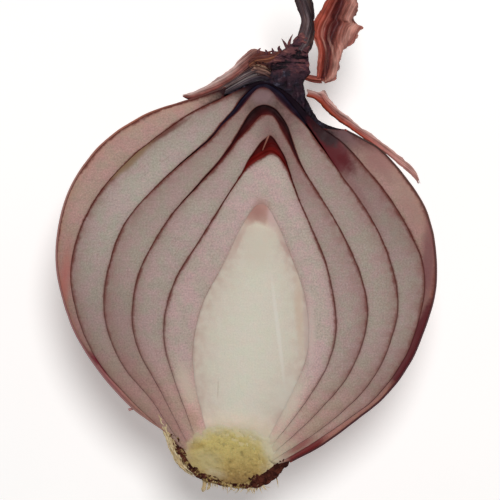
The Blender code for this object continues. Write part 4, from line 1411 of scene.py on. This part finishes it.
SHEETS = [
    Sheet(
        "straw_mat", [], "root_cork",
        [(-17.1, -30.6, 0.9), (-16.2, -33.2, 0.9), (-15.3, -35.2, 0.8), (-14.5, -37.2, 0.8),
         (-13.7, -39.0, 0.8), (-12.3, -41.0, 0.8), (-10.5, -42.6, 0.9)],
        [(-16.9, -30.4, 0.7), (-15.7, -33.0, 0.5), (-14.8, -35.0, 0.4), (-13.9, -37.0, 0.4),
         (-12.9, -38.8, 0.4), (-11.4, -40.6, 0.4), (-9.4, -42.2, 0.6)],
        [(0.0, -0.5), (0.4, 0.1), (0.7, 0.1), (1.0, -0.2)],
        [(0.0, 140, 120, 84), (0.2, 206, 192, 150), (0.42, 150, 128, 84), (0.6, 186, 168, 118),
         (1.0, 96, 70, 40)],
        0.3, (0.4, 0.4, 0.03, 0.08), 0.24, 0.2, 0.08, 0.3, 0.9, (180, 36)),
    # Red sheet in the gap at the heart's tip: the scales' own red, darker towards its upper edge as
    # painted shade of the gap
    shaded_web(
        "web_red", (90, 30),
        [(-3.2, 14.2, 0.6), (0.0, 18.9, 0.6), (2.4, 20.7, 0.6), (5.0, 21.9, 0.6), (7.2, 19.9, 0.6),
         (9.6, 15.0, 0.6)],
        [(-3.6, 14.6, 0.4), (0.0, 20.5, 0.4), (2.6, 24.4, 0.4), (4.8, 26.0, 0.4), (7.1, 23.0, 0.4),
         (9.9, 15.6, 0.4)],
        [(0.0, -0.1), (0.5, 0.1), (1.0, -0.2)],
        [(0.0, 100, 24, 20), (0.4, 92, 14, 12), (0.8, 66, 12, 12), (1.0, 42, 16, 18)]),
    Sheet(
        "web_fold", [], "flesh",
        [(4.3, 25.7, 0.0), (3.8, 24.4, 0.15), (3.2, 22.8, 0.45)],
        [(4.7, 25.6, 0.0), (4.1, 24.2, 0.15), (3.4, 22.7, 0.45)],
        [(0.0, -0.2), (0.5, 0.1), (1.0, -0.2)],
        [(0.0, 104, 56, 48), (0.5, 146, 94, 78), (1.0, 112, 48, 42)],
        0.15, (0.1, 0.1, 0.0, 0.0), 0.03, 0.3, 0.02, 0.2, 0.3, (40, 12)),
    # Painted shade of the hollow between the third and fourth scale, red-brown at its lower edge
    shaded_web(
        "hollow_shade_dark", (150, 24),
        [(-9.0, 16.0, 0.6), (-4.4, 21.2, 0.6), (-2.2, 23.9, 0.5), (1.2, 27.6, 0.5), (4.2, 29.7, 0.5),
         (6.8, 27.0, 0.4), (9.0, 22.8, 0.4), (11.8, 18.0, 0.5)],
        [(-9.4, 16.8, 0.6), (-4.8, 22.2, 0.6), (-2.6, 25.6, 0.5), (0.6, 30.4, 0.5), (4.0, 32.1, 0.5),
         (7.6, 29.2, 0.4), (9.4, 25.2, 0.4), (12.0, 18.6, 0.5)],
        [(0.0, 0.1), (0.5, 0.0), (1.0, -0.2)],
        [(0.0, 86, 28, 28), (0.35, 58, 16, 18), (0.7, 38, 14, 16), (1.0, 30, 16, 18)]),
    # Painted shade: the blue-black hollow between the second and third scale
    shaded_web(
        "hollow_shade_black", (150, 24),
        [(-9.6, 22.6, 0.6), (-4.6, 27.8, 0.5), (-2.0, 30.0, 0.4), (1.0, 33.6, 0.4), (3.6, 35.0, 0.4),
         (7.6, 31.8, 0.4), (11.8, 27.6, 0.5)],
        [(-10.0, 23.4, 0.6), (-5.0, 28.6, 0.5), (-2.6, 31.2, 0.4), (0.2, 34.6, 0.4), (3.6, 36.4, 0.4),
         (7.8, 34.2, 0.4), (12.4, 28.4, 0.5)],
        [(0.0, 0.1), (0.5, 0.0), (1.0, -0.2)],
        [(0.0, 56, 26, 34), (0.35, 30, 16, 28), (0.7, 24, 22, 38), (1.0, 20, 12, 22)]),
    Sheet(
        "leaf_stump_tail", ["leaf_stump"], "dry_leaf",
        [(8.8, 43.2, 0.9), (10.0, 44.8, 0.8), (10.6, 46.6, 1.0), (11.1, 48.4, 1.2), (11.0, 49.6, 1.2),
         (10.4, 51.2, 1.2), (9.8, 52.8, 1.3), (9.2, 54.8, 1.6), (8.8, 56.8, 1.8), (9.2, 58.4, 2.2)],
        [(12.4, 42.0, 0.5), (13.2, 43.6, 0.4), (13.6, 45.2, 0.7), (13.8, 46.8, 1.0), (13.7, 48.8, 1.0),
         (13.6, 50.8, 0.8), (13.3, 52.8, 0.7), (12.6, 54.8, 1.0), (11.2, 57.0, 1.6), (9.8, 58.5, 2.0)],
        [(0.0, -0.9), (0.3, 0.1), (0.5, 0.35), (0.75, 0.1), (1.0, -0.8)],
        [(0.0, 38, 24, 27), (0.2, 76, 60, 63), (0.36, 54, 39, 43), (0.55, 80, 65, 68), (0.75, 50, 37, 41),
         (1.0, 34, 22, 27)],
        0.5, (0.08, 0.08, 0.03, 0.02), 0.18, 0.35, 0.07, 0.2, 0.75, (160, 42)),
    Sheet(
        "torn_curl_blade", ["torn_curl"], "torn_skin",
        [(14.2, 37.2, 1.6), (14.2, 39.6, 1.8), (14.5, 42.4, 2.2), (13.9, 44.8, 2.4), (13.3, 46.2, 2.4),
         (13.5, 48.0, 2.4), (14.4, 50.0, 2.4), (15.4, 51.8, 2.4), (16.8, 54.4, 2.4), (18.2, 57.4, 2.4),
         (19.4, 59.3, 2.2)],
        [(15.8, 36.3, 1.6), (17.8, 37.1, 1.8), (18.7, 38.8, 2.2), (19.1, 40.8, 2.4), (19.9, 42.8, 2.4),
         (21.3, 44.6, 2.4), (22.4, 46.4, 2.4), (23.2, 47.8, 2.4), (21.9, 48.6, 2.4), (22.3, 50.6, 2.4),
         (22.6, 52.6, 2.4), (21.9, 56.0, 2.4), (20.4, 59.2, 2.2)],
        [(0.0, 0.2), (0.14, 0.7), (0.28, 0.2), (0.48, -0.9), (0.6, -0.4), (0.78, 0.4), (0.9, 0.2),
         (1.0, -0.5)],
        # Tones across the blade: the dark band from 0.38 to 0.5 is painted shade in the fold's valley, and
        # the pale right side is partly painted light where the blade rises towards the lamp
        [(0.0, 132, 50, 40), (0.1, 170, 80, 64), (0.24, 136, 58, 48), (0.38, 90, 38, 38),
         (0.5, 82, 40, 42), (0.6, 124, 72, 64), (0.7, 150, 98, 88), (0.85, 184, 132, 120),
         (1.0, 144, 84, 76)],
        0.2, (0.05, 0.14, 0.01, 0.06), 0.08, 0.3, 0.08, 0.3, 0.7, (180, 66)),
    Sheet(
        "torn_curl_stalk", [], "torn_skin",
        [(11.4, 37.1, 1.8), (13.2, 36.5, 1.8), (15.3, 36.3, 1.8)],
        [(11.6, 38.3, 1.6), (13.2, 37.9, 1.6), (14.9, 37.7, 1.6)],
        [(0.0, -0.3), (0.5, 0.3), (1.0, -0.3)],
        [(0.0, 92, 36, 32), (0.5, 140, 72, 58), (1.0, 110, 50, 44)],
        0.25, (0.08, 0.08, 0.0, 0.0), 0.08, 0.3, 0.03, 0.3, 0.6, (40, 16)),
    Sheet(
        "torn_strip_skin", ["torn_strip"], "torn_skin",
        [(12.0, 33.6, 1.4), (13.6, 33.2, 1.4), (14.8, 32.2, 1.4), (15.6, 31.2, 1.4), (17.2, 29.8, 1.4),
         (18.8, 28.5, 1.4), (20.8, 27.2, 1.4), (23.0, 25.6, 1.4), (25.2, 24.1, 1.4), (27.2, 22.7, 1.4),
         (29.0, 21.4, 1.4), (30.8, 19.8, 1.4), (32.8, 18.2, 1.4), (34.8, 15.9, 1.4)],
        [(12.0, 35.0, 0.8), (14.4, 34.5, 0.8), (15.8, 34.8, 0.8), (16.8, 33.2, 0.8), (18.4, 31.2, 0.8),
         (20.4, 29.6, 0.8), (22.8, 27.6, 0.8), (25.2, 26.0, 0.8), (27.8, 24.0, 0.8), (30.4, 22.0, 0.8),
         (32.4, 20.4, 0.8), (33.6, 19.0, 0.8), (34.4, 17.8, 0.8), (35.0, 16.0, 0.8)],
        [(0.0, -0.2), (0.25, 0.3), (0.55, -0.1), (0.8, 0.2), (1.0, -0.4)],
        [(0.0, 88, 34, 26), (0.2, 148, 62, 44), (0.42, 130, 60, 50), (0.6, 168, 112, 104),
         (1.0, 196, 164, 158)],
        0.2, (0.1, 0.16, 0.02, 0.04), 0.1, 0.24, 0.05, 0.35, 0.75, (200, 36), 0.15, (178, 132, 126)),
    Sheet(
        "torn_flap_skin", ["torn_flap"], "torn_skin",
        [(-12.8, 33.6, 1.2), (-11.2, 33.0, 1.4), (-8.2, 33.7, 1.4), (-4.2, 35.3, 1.5), (-1.2, 37.3, 1.5),
         (0.8, 38.8, 1.4), (3.2, 40.2, 1.3), (6.0, 41.4, 1.3)],
        [(-12.8, 33.8, 0.6), (-9.2, 35.1, 0.4), (-6.2, 36.9, 0.3), (-3.2, 39.1, 0.3), (-0.6, 41.7, 0.4),
         (0.9, 42.9, 0.5), (2.6, 42.9, 0.6), (4.0, 42.6, 0.7), (5.6, 42.8, 0.9)],
        [(0.0, -0.4), (0.2, 0.15), (0.45, -0.1), (0.75, 0.2), (1.0, -0.3)],
        # Tones across the flap: the dark red along its lower edge is painted shadow; the pinks further up
        # are the skin's own
        [(0.0, 40, 18, 20), (0.16, 64, 28, 28), (0.3, 116, 58, 52), (0.42, 138, 82, 76),
         (0.56, 172, 128, 120), (0.8, 196, 168, 162), (1.0, 176, 142, 136)],
        0.2, (0.08, 0.1, 0.02, 0.05), 0.1, 0.26, 0.07, 0.3, 0.8, (190, 48), 0.15, (104, 54, 48)),
    Sheet(
        "torn_flake_skin", [], "torn_skin",
        [(-21.9, -28.4, 0.7), (-22.9, -28.8, 0.5), (-23.7, -29.0, 0.6)],
        [(-21.7, -28.8, 0.9), (-22.6, -29.2, 0.7), (-23.5, -29.5, 0.8)],
        [(0.0, -0.1), (0.5, 0.1), (1.0, -0.1)],
        [(0.0, 146, 92, 92), (0.5, 190, 146, 142), (1.0, 138, 88, 86)],
        0.2, (0.1, 0.14, 0.03, 0.05), 0.04, 0.3, 0.03, 0.2, 0.5, (30, 12)),
    Sheet(
        "neck_patch_brown", [], "dry_neck",
        [(0.6, 39.2, 0.5), (2.6, 39.9, 0.2), (5.0, 40.3, 0.1), (6.6, 41.2, 0.3)],
        [(0.3, 40.2, 0.5), (1.8, 41.6, 0.3), (4.4, 42.0, 0.2), (7.4, 43.2, 0.5)],
        [(0.0, -0.3), (0.3, 0.1), (0.6, 0.0), (1.0, -0.2)],
        [(0.0, 60, 28, 24), (0.2, 122, 68, 48), (0.34, 76, 34, 28), (0.5, 150, 92, 62), (0.62, 78, 34, 30),
         (0.8, 104, 56, 48), (1.0, 62, 30, 30)],
        0.2, (0.15, 0.3, 0.05, 0.1), 0.16, 0.26, 0.12, 0.08, 0.85, (100, 48)),
    Sheet(
        "neck_wisp_upper", [], "dry_neck",
        [(-6.8, 33.9, 0.7), (-3.4, 35.6, 0.4), (-0.4, 37.2, 0.2), (2.0, 38.3, 0.1), (4.2, 38.5, 0.3),
         (5.8, 38.6, 0.7)],
        [(-6.4, 34.7, 0.9), (-3.2, 36.7, 0.7), (-0.2, 38.9, 0.5), (2.0, 40.0, 0.4), (4.2, 39.7, 0.5),
         (5.9, 38.9, 0.9)],
        [(0.0, -0.2), (0.3, 0.15), (0.6, -0.15), (0.8, 0.1), (1.0, -0.3)],
        [(0.0, 36, 24, 30), (0.14, 104, 90, 92), (0.26, 40, 26, 34), (0.4, 148, 134, 130),
         (0.5, 56, 36, 42), (0.6, 92, 76, 78), (0.74, 50, 28, 32), (0.88, 120, 84, 76), (1.0, 60, 28, 28)],
        0.18, (0.14, 0.2, 0.04, 0.1), 0.12, 0.24, 0.08, 0.1, 0.9, (120, 56), 0.15, (58, 38, 44)),
    Sheet(
        "neck_wisp_lower", [], "dry_neck",
        [(-5.0, 33.6, 0.6), (-2.0, 34.9, 0.3), (0.4, 36.0, 0.1), (3.0, 36.7, 0.1), (5.4, 36.7, 0.4),
         (6.8, 36.9, 0.8)],
        [(-5.6, 34.2, 0.8), (-2.4, 36.0, 0.4), (0.2, 37.5, 0.2), (2.8, 38.4, 0.2), (5.2, 37.8, 0.5),
         (6.9, 37.2, 1.0)],
        [(0.0, -0.25), (0.35, 0.1), (0.6, -0.1), (1.0, -0.2)],
        [(0.0, 24, 18, 26), (0.2, 56, 46, 56), (0.34, 30, 22, 32), (0.5, 84, 74, 82), (0.64, 38, 26, 36),
         (0.8, 128, 116, 114), (1.0, 40, 26, 34)],
        0.18, (0.14, 0.16, 0.05, 0.12), 0.12, 0.24, 0.08, 0.1, 0.9, (120, 54), 0.15, (44, 32, 42)),
    Sheet(
        "neck_patch_pale", [], "dry_neck",
        [(0.8, 38.6, 0.4), (2.4, 38.2, 0.1), (4.0, 37.7, 0.0), (5.6, 36.6, 0.4)],
        [(1.0, 40.2, 0.4), (2.6, 40.3, 0.0), (4.4, 39.6, -0.1), (6.2, 37.9, 0.3)],
        [(0.0, -0.3), (0.3, 0.15), (0.6, 0.0), (0.8, 0.2), (1.0, -0.3)],
        [(0.0, 54, 32, 34), (0.16, 120, 86, 78), (0.3, 66, 36, 36), (0.46, 172, 132, 114),
         (0.58, 96, 52, 44), (0.74, 190, 150, 126), (0.86, 92, 46, 36), (1.0, 60, 30, 30)],
        0.18, (0.5, 0.5, 0.2, 0.3), 0.2, 0.2, 0.16, 0.1, 0.95, (70, 40), 0.15, (64, 38, 40)),
]


def torn_finish(sheet):
    """Thin dry skin whose tone runs across it."""
    def fill(nodes):
        ground = nodes.ramp(nodes.mark("across"), tones(sheet.stops))
        if sheet.late:
            late = nodes.between(nodes.mark("course"), 0.4, 0.9)
            ground = nodes.mix(late, ground, tone(*sheet.late))
        made = dry_skin(nodes, {
            "Ground": ground, "Second": nodes.scaled(ground, 0.8), "Pale": tone(186, 150, 136),
            "Vein": nodes.scaled(ground, 0.45), "Fibre Width": sheet.rib_width,
            "Fibre Length": 9.0, "Patch Fineness": 0.33, "Worn Share": sheet.worn,
            "Vein Share": sheet.veins})
        # Painted light and shade: each sheet is lighter on its ribs and darker in its creases
        relief = nodes.between(nodes.mark("relief"), 0.15, 0.85, 0.72, 1.2)
        return nodes.scaled(made["Colour"], relief), made["Roughness"], made["Height"]
    return finish(sheet.name + "_dry", fill, bump=0.05, soft=0.1, specular=sheet.gloss)


class ONION_OT_torn_pieces(Operator):
    """Build the leaf stump, the torn pieces of skin and the wisps round the neck"""

    bl_idname = "onion.torn_pieces"
    bl_label = "Torn Pieces"

    def execute(self, _context):
        for index, sheet in enumerate(SHEETS):
            piece = sheet_piece(sheet, 3.0 + 4.7 * index)
            piece.build(sheet.name, torn_finish(sheet), sheet.slot, sheet.nodes)
        return {"FINISHED"}


# Floor, light and camera, in metres

FLOOR_REACH = 4.0
LAMP_PLACE = (0.05, 0.19, 0.74)
LAMP_AIM = (0.0, 0.0, 0.02)
LAMP_WIDTH = 0.22
CAMERA_PLACE = (0.0008, 0.0028)


def floor_look(nodes):
    cloud = nodes.between(nodes.noise(nodes.place(), 60.0, 2.0), 0.3, 0.7)
    tint = nodes.mix(cloud, (0.87, 0.86, 0.85, 1), (0.89, 0.88, 0.87, 1))
    return {"Base Color": tint, "Roughness": 0.9, "Specular IOR Level": 0.1,
            "Emission Color": (1.0, 0.985, 0.965, 1.0),
            "Emission Strength": bpy.context.scene.onion_studio.glow}


class ONION_OT_stage(Operator):
    """Build the white floor, the soft light and the camera"""

    bl_idname = "onion.stage"
    bl_label = "Stage"

    def execute(self, context):
        scene = context.scene
        studio = scene.onion_studio
        mesh = bpy.data.meshes.new("studio_floor")
        corners = [(x * FLOOR_REACH, y * FLOOR_REACH, 0)
                   for x, y in ((-1, -1), (1, -1), (1, 1), (-1, 1))]
        mesh.from_pydata(corners, [], [(0, 1, 2, 3)])
        mesh.materials.append(material("studio_floor_white", floor_look))
        new_object("studio_floor", mesh)
        lamp = bpy.data.lights.new("key_light", "AREA")
        lamp.shape = "DISK"
        lamp.size = LAMP_WIDTH
        lamp.energy = studio.key
        light = new_object("key_light", lamp)
        light.location = LAMP_PLACE
        light.rotation_mode = "QUATERNION"
        aim = Vector(np.subtract(LAMP_AIM, LAMP_PLACE))
        light.rotation_quaternion = aim.to_track_quat("-Z", "Y")
        scene.world = bpy.data.worlds.new("pale_room")
        scene.world.use_nodes = True
        background = scene.world.node_tree.nodes["Background"]
        background.inputs["Color"].default_value = (1.0, 0.99, 0.98, 1.0)
        background.inputs["Strength"].default_value = studio.fill
        scene.view_settings.view_transform = "Standard"
        lens = bpy.data.cameras.new("camera")
        lens.lens = lens.sensor_width * studio.distance / studio.window
        scene.camera = new_object("camera", lens)
        scene.camera.location = (*CAMERA_PLACE, FACE * MM + studio.distance)
        return {"FINISHED"}


class ONION_PT_panel(Panel):
    """Lists the sizes, tones and builders"""

    bl_idname = "ONION_PT_panel"
    bl_label = "Halved Red Onion"
    bl_space_type = "VIEW_3D"
    bl_region_type = "UI"
    bl_category = "Onion"

    def draw(self, context):
        layout = self.layout
        for group in (context.scene.onion_sizes, context.scene.onion_colours,
                      context.scene.onion_studio):
            box = layout.box()
            for name in group.__annotations__:
                box.prop(group, name)
        for operator in OPERATORS:
            layout.operator(operator.bl_idname)


OPERATORS = (ONION_OT_scales, ONION_OT_heart, ONION_OT_tunic, ONION_OT_root, ONION_OT_neck,
             ONION_OT_torn_pieces, ONION_OT_stage)
GROUPS = {"onion_sizes": OnionSizes, "onion_colours": OnionColours,
          "onion_studio": OnionStudio}


def register():
    for made in (*GROUPS.values(), *OPERATORS, ONION_PT_panel):
        bpy.utils.register_class(made)
    for name, group in GROUPS.items():
        setattr(bpy.types.Scene, name, PointerProperty(type=group))


def unregister():
    for name in GROUPS:
        delattr(bpy.types.Scene, name)
    for made in (ONION_PT_panel, *OPERATORS, *GROUPS.values()):
        bpy.utils.unregister_class(made)


def main():
    register()
    for operator in OPERATORS:
        family, name = operator.bl_idname.split(".")
        getattr(getattr(bpy.ops, family), name)()


if __name__ == "__main__":
    main()
